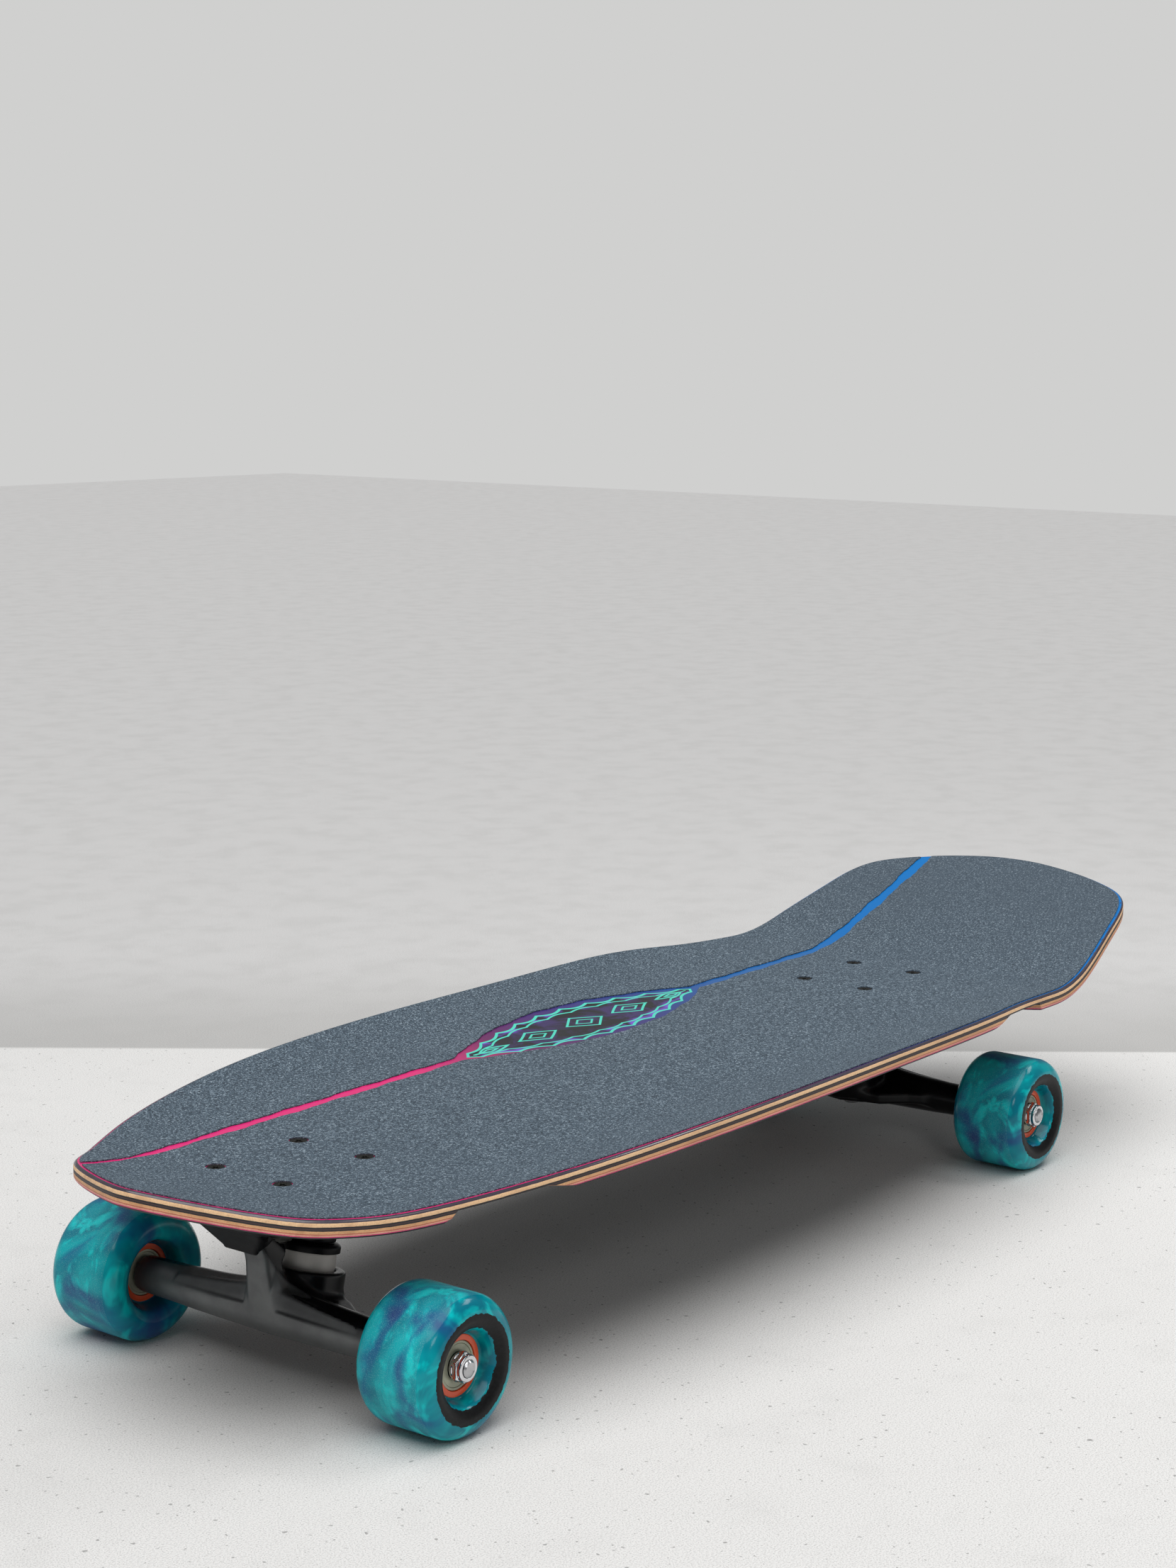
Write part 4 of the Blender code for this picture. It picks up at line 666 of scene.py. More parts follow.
ARM_TAPER = ((0, 48, 57, 83.2), (10.4, 9.5, 9.1, 8.6))
ARM_SWEEP = 8.0
ARM_SWEEP_REACH = 16.0
STEM_FRONT = ((10.4, 0.0), (14.3, 30.0))
STEM_BACK = ((-4.4, 13.3), (10.1, 35.2))
STEM_FOOT = -2.0
STEM_HALF_WIDTH = (8.6, 6.2)
STEM_REACH = 36.5
NECK_START = -11.0
NECK_END = -2.0
NOSE_RADIUS = 5.2
NOSE_END = 5.7
WEB_SLOPE = 0.2494
WEB_THICKNESS = 7.0
WEB_END = 54
WEB_BACK = ((0, 14, 24, 31, 38, 45, 50, 54), (-31, -29, -25.5, -20.5, -15.5, -12, -7.5, -2))
PANEL_DEPTH = 1.1
PANEL_FLOOR = ((8, 25, 40, 60), (4.4, 3.8, 3.6, 3.5))
SEAT_RADIUS = 14.6
SEAT_MOUTH_RADIUS = 16.8
SEAT_MOUTH_BOTTOM = 15.2
SWING_ROOM = (9.7, 12.3)
KINGPIN_ROOM = 7.5

# How far outboard a surface has to face to be gunmetal, by its place along the arms. Past it the casting is
# black, partly its own black paint and partly painted shade: on the near arm (+Y) the black reaches further
# down the front, where the deck shades it.
PAINT_AND_SHADE_LIMIT = ((-60, 5, 13, 33, 55), (0.16, 0.25, 0.31, 0.59, 0.74))


def beyond(x, z, line):
    """The distance in front of a line drawn in the side view through two points, positive on its right."""
    (ax, az), (bx, bz) = line
    return ((x - ax) * (bz - az) - (z - az) * (bx - ax)) / math.hypot(bx - ax, bz - az)


def arm_distance(x, y, z):
    """The arms: tapered round bars, drawn up towards the stem."""
    side = np.abs(y)
    drawn_up = ARM_SWEEP * np.exp(-side / ARM_SWEEP_REACH)
    section = np.hypot(x, z - np.clip(z, 0, drawn_up)) - np.interp(side, *ARM_TAPER)
    return smooth_max(section, side - SHOULDER_Y, 1.6)


def stem_distance(x, y, z):
    """The upright wedge between the arms and the neck."""
    share = np.clip((z - 5) / 25, 0, 1.3)
    width = STEM_HALF_WIDTH[0] + (STEM_HALF_WIDTH[1] - STEM_HALF_WIDTH[0]) * share
    faces = smooth_max(beyond(x, z, STEM_FRONT), -beyond(x, z, STEM_BACK), 3.0)
    flank = smooth_max(faces, np.abs(y) - width, 5.0)
    reach = (x * math.sin(STEERING_TILT) + z * math.cos(STEERING_TILT)) - STEM_REACH
    return smooth_max(smooth_max(flank, reach, 3.0), STEM_FOOT - z, 3.0)


def panel_depth(x, y, z):
    """How deep the recesses in the front of the arms are, beside the stem. They fade out along the arms."""
    side = np.abs(y)
    over_floor = np.clip((z - np.interp(side, *PANEL_FLOOR)) / 0.9, 0, 1)
    inner = 9.4 - 0.12 * (z - 5)
    beside_stem = np.clip((side - inner) / np.where(y > 0, 2.5, 0.8), 0, 1)
    in_front = np.clip(x / 3, 0, 1)
    return PANEL_DEPTH * over_floor * beside_stem * in_front * np.clip((64 - side) / 40, 0, 1)


def web_distance(x, y, z):
    """The webs that flare from the yoke out to the arms."""
    side = np.abs(y)
    top = RING_CENTRE[2] - 2.0 + WEB_SLOPE * (x - RING_CENTRE[0]) - 0.13 * np.maximum(side - 16, 0)
    slab = smooth_max(z - top, top - WEB_THICKNESS - z, 2.5)
    back = (np.interp(side, *WEB_BACK) - x) * 0.8
    return smooth_max(smooth_max(slab, back, 2.0), np.maximum(x - 6, side - WEB_END), 2.0)


def hanger_distance(points):
    x, y, z = points.T
    arms = arm_distance(x, y, z)
    stem = stem_distance(x, y, z)
    neck = column(points, STEERING, (7.2, 6.2), NECK_START - 8, NECK_END, 1.2)
    upright = smooth_min(stem, neck, 4.0)
    fillet = 0.5 + 11 * np.clip((z + 1) / 9, 0, 1) * np.clip((10.8 - x) / 5, 0, 1)
    body = smooth_min(arms, upright, fillet) + panel_depth(x, y, z)
    yoke = column(points, KINGPIN, YOKE_RADIUS, RING_BOTTOM - 4.0, YOKE_RIM, 1.6)
    body = smooth_min(body, smooth_min(yoke, web_distance(x, y, z), 4.0), 3.5)
    nose = column(points, STEERING, NOSE_RADIUS, NECK_START, NOSE_END, 1.0)
    body = smooth_min(body, nose, 0.8)

    # The bushing's seat and its mouth, room for the roadside bushing, and the bores of kingpin and axle
    body = cut(body, column(points, KINGPIN, SEAT_RADIUS, RING_TOP, 60, 0.5), 0.8)
    body = cut(body, column(points, KINGPIN, SEAT_MOUTH_RADIUS, SEAT_MOUTH_BOTTOM, 60, 0.8), 1.0)
    along, across, height = moved(points, KINGPIN.inverted()).T
    swing = np.hypot(along, across * SWING_ROOM[0] / SWING_ROOM[1]) - SWING_ROOM[0]
    body = cut(body, np.maximum(swing, height - RING_BOTTOM), 0.8)
    body = cut(body, column(points, KINGPIN, KINGPIN_ROOM, -40, 20), 0.5)
    return cut(body, np.hypot(x, z) - AXLE_RADIUS - 0.15, 0.5)


def make_hanger_mesh():
    """The casting, with how much of each point is gunmetal and not black. The black is partly paint and
    partly painted shade.
    """
    shape = sculpted(hanger_distance, (-41, -SHOULDER_Y, -15), (24, SHOULDER_Y, 49), 0.7)
    mesh = mesh_in_mm("hanger", shape, sharp=60, weld=0)
    points = np.empty(len(mesh.vertices) * 3)
    normals = np.empty(len(mesh.vertices) * 3)
    mesh.vertices.foreach_get("co", points)
    mesh.vertex_normals.foreach_get("vector", normals)
    x, y, z = points.reshape(-1, 3).T / MM
    on_stem = np.clip((z - 11) / 5, 0, 1)
    limit = np.where(z > 0, np.interp(y, *PAINT_AND_SHADE_LIMIT), -0.3)
    limit = limit * (1 - on_stem) - 0.6 * on_stem
    # Gunmetal where a surface faces outboard past the limit, black elsewhere; the black is partly paint and
    # partly painted shade.
    front = np.clip((normals[::3] - limit) / 0.10 + 0.5, 0, 1)
    front = front * np.clip((beyond(x, z, STEM_BACK) - 3) / 1.5, 0, 1) * np.clip(x + 1, 0, 1)
    keep_values(mesh, "gunmetal", front)
    return mesh


# The baseplate and its riser

HOUSING_FACE = 54.0
HOUSING_FRONT = ((21.0, 33.0), (29.3, 46.0))
HOUSING_LIP_X = 29.2
BOSS_BOTTOM = 21.3
BOSS_RADII = (12.4, 14.0)
NUT_POCKET_RADIUS = 7.3
CUP_SEAT_RADIUS = 7.4
CUP_SEAT_TOP = 7.8
HEAD_SEAT_RADIUS = 8.6
HEAD_SEAT_DEPTH = 4.3
KINGPIN_BORE = 5.0
KINGPIN_AT_PLATE = (PLATE_BOTTOM - RING_CENTRE[2]) / math.cos(KINGPIN_TILT)
PLATE_LOW = (PLATE_AHEAD - PLATE_LENGTH, -PLATE_WIDTH / 2, PLATE_BOTTOM)
PLATE_HIGH = (PLATE_AHEAD, PLATE_WIDTH / 2, PLATE_TOP)
RISER_LOW = (*PLATE_LOW[:2], RISER_BOTTOM)
RISER_HIGH = (*PLATE_HIGH[:2], RISER_TOP)


def from_bolts(x, y):
    """The distance in plan to each bolt's axis."""
    half_x, half_y = BOLT_SPACING[0] / 2, BOLT_SPACING[1] / 2
    return [np.hypot(x - BOLTS_X - i * half_x, y - j * half_y) for i in (1, -1) for j in (1, -1)]


def housing_distance(x, y, z):
    """The wedge that holds the pivot cup, with a flat tip and flanks that flare towards the plate."""
    mouth = (HOUSING_FACE - x - z) / math.sqrt(2)
    front = beyond(x, z, HOUSING_FRONT)
    half = np.minimum(10.6 + 0.95 * np.maximum(z - 35.2, 0), 19.5)
    flank = (np.abs(y) - half) / 1.25
    wedge = smooth_max(smooth_max(mouth, front, 1.2), flank, 1.6)
    return np.maximum(wedge, np.maximum(x - HOUSING_LIP_X, z - 50))


def baseplate_distance(points):
    x, y, z = points.T
    plate = rounded_plate(points, PLATE_LOW, PLATE_HIGH, PLATE_CORNER, 1.6)
    body = smooth_min(plate, housing_distance(x, y, z), 2.5)
    boss = column(points, KINGPIN, BOSS_RADII, BOSS_BOTTOM, KINGPIN_AT_PLATE + 3, 0.8)
    rib = smooth_max(np.abs(y) - 5, 41.2 - z, 2.0)
    rib = np.maximum(np.maximum(rib, RING_CENTRE[0] - x), np.maximum(x - PIVOT[0], z - 50))
    body = smooth_min(body, smooth_min(boss, rib, 3.0), 3.0)
    for from_bolt in from_bolts(x, y):
        body = cut(body, np.maximum(from_bolt - NUT_POCKET_RADIUS, z - PLATE_BOTTOM), 0.6)
        body = cut(body, from_bolt - BOLT_BORE, 0.3)
    body = cut(body, column(points, STEERING, CUP_SEAT_RADIUS, -40, CUP_SEAT_TOP), 0.5)
    head_seat = column(points, KINGPIN, HEAD_SEAT_RADIUS, KINGPIN_AT_PLATE - HEAD_SEAT_DEPTH, 90)
    body = cut(body, head_seat, 0.3)
    body = cut(body, column(points, KINGPIN, KINGPIN_BORE, 0, 90), 0.3)
    return np.maximum(body, z - PLATE_TOP)


def riser_distance(points):
    body = rounded_plate(points, RISER_LOW, RISER_HIGH, PLATE_CORNER, 0.6)
    for from_bolt in from_bolts(points[:, 0], points[:, 1]):
        body = cut(body, from_bolt - BOLT_BORE, 0.2)
    return body


# Small truck pieces

THREAD_PITCH = 1.06
THREAD_DEPTH = 0.28
THREAD_STEP = 0.13
KINGPIN_RADIUS = 4.75
KINGPIN_NUT_TOP = -10.2
KINGPIN_END = -15.6
AXLE_THREAD_Y = 107
BOLT_HEAD_TOP = 67.1
BOLT_HEAD_DEPTH = 2.7
BOLT_HEAD_RADIUS = 4.4
BOLT_RADIUS = 2.4
BOLT_NUT_TOP = 46.9
BOLT_NUT_BOTTOM = 41.9
BOLT_TIP = 40.7


def thread(start, end):
    """A thread cut into a bar between two heights, for the wave of a turned shape."""

    def wave(angle, height):
        turn = height / THREAD_PITCH - angle / (2 * math.pi)
        tooth = np.abs(turn % 1 * 2 - 1)
        open_ = np.clip((height - start) / 0.8, 0, 1) * np.clip((end - height) / 0.3, 0, 1)
        return -THREAD_DEPTH * tooth * open_

    return wave


def threaded(radius, start, end):
    """Rows of a profile close enough together for a thread."""
    return [(radius, height) for height in np.arange(start, end, math.copysign(THREAD_STEP, end - start))]


def nut_shape(cell, across_flats, half, bottom, top, bore, *rings):
    """A chamfered hexagon nut, with round collars or flanges given as radius, bottom and top."""

    def distance(points):
        x, y, z = points.T
        radius = np.hypot(x, y)
        slab = np.maximum(bottom - z, z - top)
        corner = across_flats / 2 / math.cos(math.pi / 6)
        chamfer = slab * 0.86 + (radius - corner + 0.55) * 0.5
        body = np.maximum(smooth_max(hexagon(x, y, across_flats), slab, 0.35), chamfer)
        for ring_radius, low, high in rings:
            ring = smooth_max(radius - ring_radius, np.maximum(low - z, z - high), 0.7)
            body = smooth_min(body, ring, 0.3)
        return cut(body, radius - bore, 0.35)

    lowest = min(bottom, *(low for _, low, _ in rings))
    highest = max(top, *(high for _, _, high in rings))
    return sculpted(distance, (-half, -half, lowest), (half, half, highest), cell)


def kingpin_shape():
    head = KINGPIN_AT_PLATE - 4.0
    head_top = head + 5.5
    top = filleted([(0, head_top, 0), (8.0, head_top, 0.6), (8.0, head, 0.6), (KINGPIN_RADIUS, head, 0.3)])
    rows = threaded(KINGPIN_RADIUS, head - 2, KINGPIN_END + 0.6)
    tip = [(KINGPIN_RADIUS - 0.7, KINGPIN_END), (0, KINGPIN_END)]
    return turned([*top, *rows, *tip], 48, wave=thread(KINGPIN_END - 1, -7.0))


def axle_shape():
    half = [(0, AXLE_END_Y), (AXLE_RADIUS - 0.9, AXLE_END_Y)]
    half += threaded(AXLE_RADIUS, AXLE_END_Y - 0.8, AXLE_THREAD_Y)
    lower = [(radius, -height) for radius, height in reversed(half)]
    one = thread(AXLE_THREAD_Y + 0.5, AXLE_END_Y + 1)
    other = thread(-AXLE_END_Y - 1, -AXLE_THREAD_Y - 0.5)
    return turned(half + lower, 48, wave=lambda a, z: one(a, z) + other(a, z))


def bolt_head_distance(points):
    """A flat head with a cross recess, standing on its cone."""
    x, y, z = points.T
    radius = np.hypot(x, y)
    slab = np.maximum(z - BOLT_HEAD_TOP, BOLT_HEAD_TOP - BOLT_HEAD_DEPTH - z)
    cone = (radius - BOLT_HEAD_RADIUS + np.maximum(BOLT_HEAD_TOP - 0.5 - z, 0) * 0.9) * 0.75
    deep = (BOLT_HEAD_TOP - z) / 2.2
    half_length = 2.45 - 1.5 * deep
    half_width = 0.62 - 0.25 * deep
    x, y = np.abs(x), np.abs(y)
    arms = [np.maximum(a - half_length, b - half_width) for a, b in ((x, y), (y, x))]
    cross = np.maximum(np.minimum(*arms), BOLT_HEAD_TOP - 1.9 - z)
    return cut(smooth_max(cone, slab, 0.3), cross, 0.25)


def bolt_shape():
    low = (-BOLT_HEAD_RADIUS, -BOLT_HEAD_RADIUS, BOLT_HEAD_TOP - BOLT_HEAD_DEPTH)
    head = sculpted(bolt_head_distance, low, (BOLT_HEAD_RADIUS, BOLT_HEAD_RADIUS, BOLT_HEAD_TOP), 0.17)
    rows = [(0, BOLT_HEAD_TOP - 2.4), (BOLT_RADIUS, BOLT_HEAD_TOP - 2.4), (BOLT_RADIUS, 49)]
    rows += threaded(BOLT_RADIUS, 48.9, BOLT_TIP + 0.5)
    rows += [(BOLT_RADIUS - 0.5, BOLT_TIP), (0, BOLT_TIP)]
    shank = turned(rows, 32, wave=thread(BOLT_TIP - 1, 48.5))
    collar = (4.2, BOLT_NUT_BOTTOM, BOLT_NUT_TOP - 1)
    nut = nut_shape(0.3, 9.5, 5.6, BOLT_NUT_BOTTOM + 1.2, BOLT_NUT_TOP, BOLT_RADIUS, collar)
    return together(head, shank, nut)


# Wheels

CORE_SEAT = 13.15
KEY_RADIUS = 15.9
KEY_HALF = 3.1
TYRE_EDGE = 8.4
BEARING_REACH = 12.0


def tyre_face(bearing_face):
    """One side of the tyre's profile: the dished recess, the flat face and the deep round edge."""
    inner = filleted(
        [
            (CORE_SEAT, 0, 0),
            (CORE_SEAT, bearing_face, 0.3),
            (14.6, bearing_face + 0.3, 0.9),
            (17.5, 19.3, 1.5),
            (21.2, WHEEL_HALF, 2.2),
            (23.6, WHEEL_HALF, 0),
        ]
    )[1:]
    turns = np.linspace(0, math.pi / 2, 16)[1:]
    radius = WHEEL_RADIUS - TYRE_EDGE + TYRE_EDGE * np.sin(turns)
    height = WHEEL_HALF - TYRE_EDGE + TYRE_EDGE * np.cos(turns)
    return np.concatenate([inner, np.stack([radius, height], axis=1)])


def tyre_shape():
    outboard = tyre_face(BEARING_REACH + BEARINGS_OFFSET)
    inboard = (tyre_face(BEARING_REACH - BEARINGS_OFFSET) * (1, -1))[::-1]
    tread = [(WHEEL_RADIUS, h) for h in np.linspace(12, -12, 13)]
    low, high = BEARINGS_OFFSET - KEY_HALF, BEARINGS_OFFSET + KEY_HALF
    keyway = [(CORE_SEAT, low), (KEY_RADIUS, low), (KEY_RADIUS, high), (CORE_SEAT, high)]
    return turned([*outboard, *tread, *inboard, *keyway], 160, closed=True)


# Finishes

# Film colours from the tail to the nose, by the place along the deck in metres
FILM_COLOURS = (
    (-0.387, srgb(0, 118, 195)),
    (-0.150, srgb(20, 105, 180)),
    (-0.080, srgb(42, 72, 145)),
    (0.000, srgb(72, 44, 118)),
    (0.055, srgb(112, 34, 98)),
    (0.100, srgb(205, 42, 118)),
    (0.130, srgb(240, 42, 128)),
)

# Plies from the top down: where each starts, in millimetres below the deck's top, and its colour
PLIES = (
    (0.00, srgb(66, 61, 74)),
    (1.42, srgb(246, 204, 158)),
    (3.07, srgb(24, 18, 22)),
    (3.88, srgb(84, 54, 54)),
    (4.12, srgb(24, 19, 22)),
    (4.82, srgb(226, 172, 122)),
    (6.07, srgb(196, 108, 84)),
    (6.50, srgb(236, 170, 146)),
    (7.17, srgb(232, 62, 128)),
    (7.60, srgb(16, 14, 17)),
)

# The window's pattern, in metres
MINT = srgb(84, 232, 206)
SCALLOP_HEIGHT = 0.0034
SCALLOP_TURNS = 150.0
RIM_WIDTH = 0.0042
DIAMOND_SPACING = 0.0205
DIAMOND_HALF = 0.0155

# The tyre's tread and the printed ring on its outer face, in metres
TREAD_HALF = 0.0160
PRINT_INNER = 0.0176
PRINT_OUTER = 0.0243


def film_colour(f, x):
    """The printed film under the tape, from pink at the nose to blue at the tail."""
    low, high = FILM_COLOURS[0][0], DECK_LENGTH / 2
    stops = [((place - low) / (high - low), colour) for place, colour in FILM_COLOURS]
    return f.ramp(f.range(x, low, high, kind="LINEAR"), stops)


def line_mask(f, distance, half_width):
    """1 within a half width of where a distance is zero, and 0 outside."""
    return f.range(f.size_of(distance), half_width, half_width + 0.00025, 1.0, 0.0)


def window_art(f, x, y, film):
    """The window's plain pattern: mint outlines and a chain of diamonds, on black with a violet haze."""
    from_middle = f.minus(x, WINDOW_X)
    along = f.over(from_middle, WINDOW_LENGTH / 2)
    bow = f.times(f.minus(1.0, f.times(along, along)), WINDOW_BOW)
    across = f.size_of(f.minus(y, STRIPE_Y))
    inward = f.minus(f.plus(bow, STRIPE_HALF_TAIL), across)
    scallop = f.times(f.size_of(f.math("SINE", f.times(x, SCALLOP_TURNS))), SCALLOP_HEIGHT)
    rim = f.minus(inward, f.plus(scallop, RIM_WIDTH))
    inside = f.range(rim, 0.0, 0.0003)
    second = f.minus(rim, f.plus(f.times(scallop, -1.6), 0.0078))
    step = f.math("PINGPONG", from_middle, DIAMOND_SPACING)
    reach = f.math("MAXIMUM", f.times(bow, 0.40), 0.0001)
    diamond = f.plus(f.over(step, DIAMOND_HALF), f.over(across, reach))
    outer = f.times(f.minus(diamond, 1.0), reach)
    inner = f.times(f.minus(diamond, 0.45), reach)
    cloud = f.range(f.noise(55, 3, 0.6, 0.8), 0.42, 0.62)
    near_rim = f.range(rim, 0.0, 0.007, 1.0, 0.0)
    haze = f.times(cloud, f.math("ADD", near_rim, 0.18, clamp=True))
    ground = f.mix(haze, srgb(26, 25, 31), srgb(128, 88, 214))
    deep = f.range(rim, 0.0035, 0.0042)
    drawn = f.math("MAXIMUM", line_mask(f, outer, 0.0007), line_mask(f, inner, 0.00055))
    drawn = f.math("MAXIMUM", f.times(drawn, deep), line_mask(f, second, 0.0006))
    ground = f.mix(f.times(drawn, inside), ground, MINT)
    ground = f.mix(line_mask(f, rim, 0.00085), f.mix(inside, film, ground), MINT)
    return f.mix(f.range(f.size_of(along), 0.985, 0.99, 1.0, 0.0), film, ground)


def deck_finish():
    """Dyed and clear plies, told apart by how deep a point lies, below a printed film."""
    f = Finish("maple_plies")
    depth = f.attribute("depth")
    x, y = f.axis("X"), f.axis("Y")
    grain = f.noise(150, 4, 0.65, 0.3, place=f.stretched(0.10, 1, 1))
    stray = f.times(f.minus(f.noise(260, 3, 0.6), 0.5), 0.035)
    stops = [(start * MM / DECK_THICKNESS, colour) for start, colour in PLIES]
    plies = f.ramp(f.plus(depth, stray), stops, "CONSTANT")
    dull = f.mix(1.0, plies, (0.70, 0.62, 0.58), "MULTIPLY")
    veins = f.mix(f.range(grain, 0.38, 0.70, 0.0, 0.75), plies, dull)
    veins = f.mix(f.range(f.noise(1500, 2, 0.6), 0.50, 0.66, 0.0, 0.55), veins, dull)
    bare = f.range(x, -0.25, -0.36, 0.010, 0.045)
    on_top = f.range(f.minus(depth, bare), 0.0, 0.006, 1.0, 0.0)
    worn = f.range(f.noise(420, 3, 0.7), 0.56, 0.62, 0.0, 0.75)
    top_colour = f.mix(f.times(worn, f.range(depth, 0.002, 0.004)), film_colour(f, x), srgb(60, 50, 62))
    return f.painted(
        Base_Color=f.mix(on_top, veins, window_art(f, x, y, top_colour)),
        Roughness=f.range(depth, 0.14, 0.18, 0.20, 0.58),
        Specular_IOR_Level=0.7,
        Normal=f.bump(grain, 0.0002, 0.25),
    )


def grip_finish():
    """Bluish grey grit: a dense mix of dark, grey and bright grains, less marked where feet have worn it."""
    f = Finish("grey_grip_tape")
    worn = f.range(f.noise(14, 4, 0.6), 0.3, 0.7, 0.0, 0.16)
    grit = f.plus(f.times(f.noise(900, 2, 0.75), 0.62), f.times(f.noise(2300, 1, 0.5), 0.38))
    stops = [
        (0.36, srgb(30, 38, 46)),
        (0.46, srgb(60, 74, 86)),
        (0.53, srgb(82, 98, 111)),
        (0.59, srgb(120, 137, 150)),
        (0.65, srgb(184, 198, 208)),
    ]
    calm = f.plus(worn, f.range(f.axis("X"), -0.15, -0.36, 0.0, 0.45))
    return f.painted(
        Base_Color=f.mix(calm, f.ramp(grit, stops), srgb(68, 81, 93)),
        Roughness=f.range(grit, 0.50, 0.64, 0.88, 0.45),
        Normal=f.bump(grit, 0.0009, 0.7),
    )


def metal_finish(name, colour, roughness, metallic, bump=0.00006, specular=0.5):
    """A metal or painted surface with fine unevenness, handling marks and duller patches."""
    f = Finish(name)
    patches = f.noise(60, 5, 0.6)
    dark = tuple(0.72 * share for share in colour)
    return f.painted(
        Base_Color=f.mix(f.range(patches, 0.35, 0.7), colour, dark),
        Metallic=metallic,
        Roughness=f.plus(f.range(patches, 0.3, 0.75, -0.06, 0.08), roughness),
        Specular_IOR_Level=specular,
        Normal=f.bump(f.noise(900, 3, 0.6), bump, 0.5),
    )


def hanger_finish():
    """Satin gunmetal on the front of the casting and gloss black elsewhere. The black is partly paint and
    partly painted shade.
    """
    f = Finish("gunmetal_and_black_with_painted_shade")
    front = f.attribute("gunmetal")
    patches = f.noise(45, 5, 0.6)
    grey = f.mix(f.range(patches, 0.35, 0.7), srgb(112, 114, 114), srgb(98, 99, 100))
    return f.painted(
        Base_Color=f.mix(front, (0.005, 0.005, 0.006), grey),
        Metallic=f.times(front, 0.75),
        Roughness=f.between(front, 0.26, f.range(patches, 0.3, 0.75, 0.40, 0.48)),
        Specular_IOR_Level=0.25,
        Normal=f.bump(f.noise(1100, 3, 0.6), 0.00004, 0.4),
    )


def plain_finish(name, colour, roughness, coat=0.0):
    """A moulded plastic or rubber with faint mottling."""
    f = Finish(name)
    cloud = f.noise(140, 4, 0.6)
    return f.painted(
        Base_Color=f.mix(cloud, colour, tuple(0.8 * share for share in colour)),
        Roughness=f.plus(f.range(cloud, 0.3, 0.7, -0.05, 0.05), roughness),
        Coat_Weight=coat,
        Coat_Roughness=0.1,
        Normal=f.bump(f.noise(1500, 2, 0.5), 0.00004, 0.4),
    )


def urethane_finish():
    """Cast teal urethane with blue and purple swirls, a sanded tread, a printed ring on its outer face and
    painted shade in the recess.
    """
    f = Finish("teal_urethane")
    x, y, z = f.axis("X"), f.axis("Y"), f.axis("Z")
    radius = f.math("SQRT", f.plus(f.times(x, x), f.times(y, y)))
    from_middle = f.size_of(z)
    drawn_out = f.stretched(1.0, 1.0, 1.7)
    swirl = f.noise(15, 3, 0.45, 1.4, place=drawn_out)
    second = f.noise(15, 3, 0.5, 2.2)
    third = f.noise(34, 3, 0.5, 2.6, place=drawn_out)
    mixed = f.mix(f.range(second, 0.35, 0.65), srgb(0, 118, 138), srgb(0, 172, 180))
    mixed = f.mix(f.range(third, 0.48, 0.68, 0.0, 0.75), mixed, srgb(0, 214, 214))
    mixed = f.mix(f.range(swirl, 0.46, 0.62, 0.0, 0.80), mixed, srgb(0, 92, 142))
    mixed = f.mix(f.range(swirl, 0.50, 0.70, 0.0, 0.85), mixed, srgb(48, 54, 118))
    # The recess inside the outer face is painted darker teal, a painted shade.
    recess = f.times(f.range(radius, 0.0182, 0.0172), f.range(from_middle, 0.0195, 0.015))
    mixed = f.mix(f.times(recess, 0.65), mixed, srgb(0, 78, 92))
    off_edge = f.range(from_middle, TREAD_HALF, TREAD_HALF + 0.0003, 1.0, 0.0)
    tread = f.times(f.range(radius, 0.0300, 0.0304), off_edge)
    sparkle = f.range(f.noise(2200, 2, 0.8), 0.50, 0.72)
    dusty = f.mix(0.03, mixed, srgb(120, 160, 175))
    dusty = f.mix(f.times(sparkle, 0.30), dusty, srgb(150, 215, 215))
    from_ring = f.plus(radius, f.times(f.minus(f.noise(330, 2, 0.7), 0.5), 0.0020))
    past_inner = f.range(from_ring, PRINT_INNER, PRINT_INNER + 0.0002)
    within_outer = f.range(from_ring, PRINT_OUTER, PRINT_OUTER + 0.0002, 1.0, 0.0)
    ring = f.times(f.times(past_inner, within_outer), f.range(z, 0.0150, 0.0155))
    print_colour = f.mix(f.range(f.noise(700, 3), 0.4, 0.7), srgb(5, 6, 7), srgb(16, 17, 19))
    return f.painted(
        Base_Color=f.mix(ring, f.mix(tread, mixed, dusty), print_colour),
        Roughness=f.between(ring, f.between(tread, 0.15, 0.5), 0.45),
        Specular_IOR_Level=0.25,
        Normal=f.bump(f.times(f.noise(1600, 2, 0.6), tread), 0.00012, 0.6),
    )


# Camera, stage and light. The seam is a line on the floor through two points, past which lies the wall.

CAMERA_PLACE = (1.1631, 0.8410, 0.4663)
CAMERA_AZIMUTH = math.radians(127.429)
CAMERA_ELEVATION = math.radians(9.064)
CAMERA_ROLL = math.radians(0.468)
CAMERA_LENS = 63.6
AMBIENT = 0.22
WALL = srgb(212, 211, 210)
BACKDROP = srgb(208, 208, 207)
SEAM = (Vector((-0.046, -0.521, 0)), Vector((-0.489, 0.038, 0)))


def make_camera():
    data = bpy.data.cameras.new("camera")
    data.lens = CAMERA_LENS
    data.sensor_width = 36
    data.clip_start = 0.05
    data.clip_end = 50
    turns = ((CAMERA_AZIMUTH, "Z"), (math.pi / 2 - CAMERA_ELEVATION, "X"), (CAMERA_ROLL, "Z"))
    matrix = Matrix.Translation(CAMERA_PLACE)
    for angle, axis in turns:
        matrix = matrix @ Matrix.Rotation(angle, 4, axis)
    bpy.context.scene.camera = new_object("camera", data, matrix)


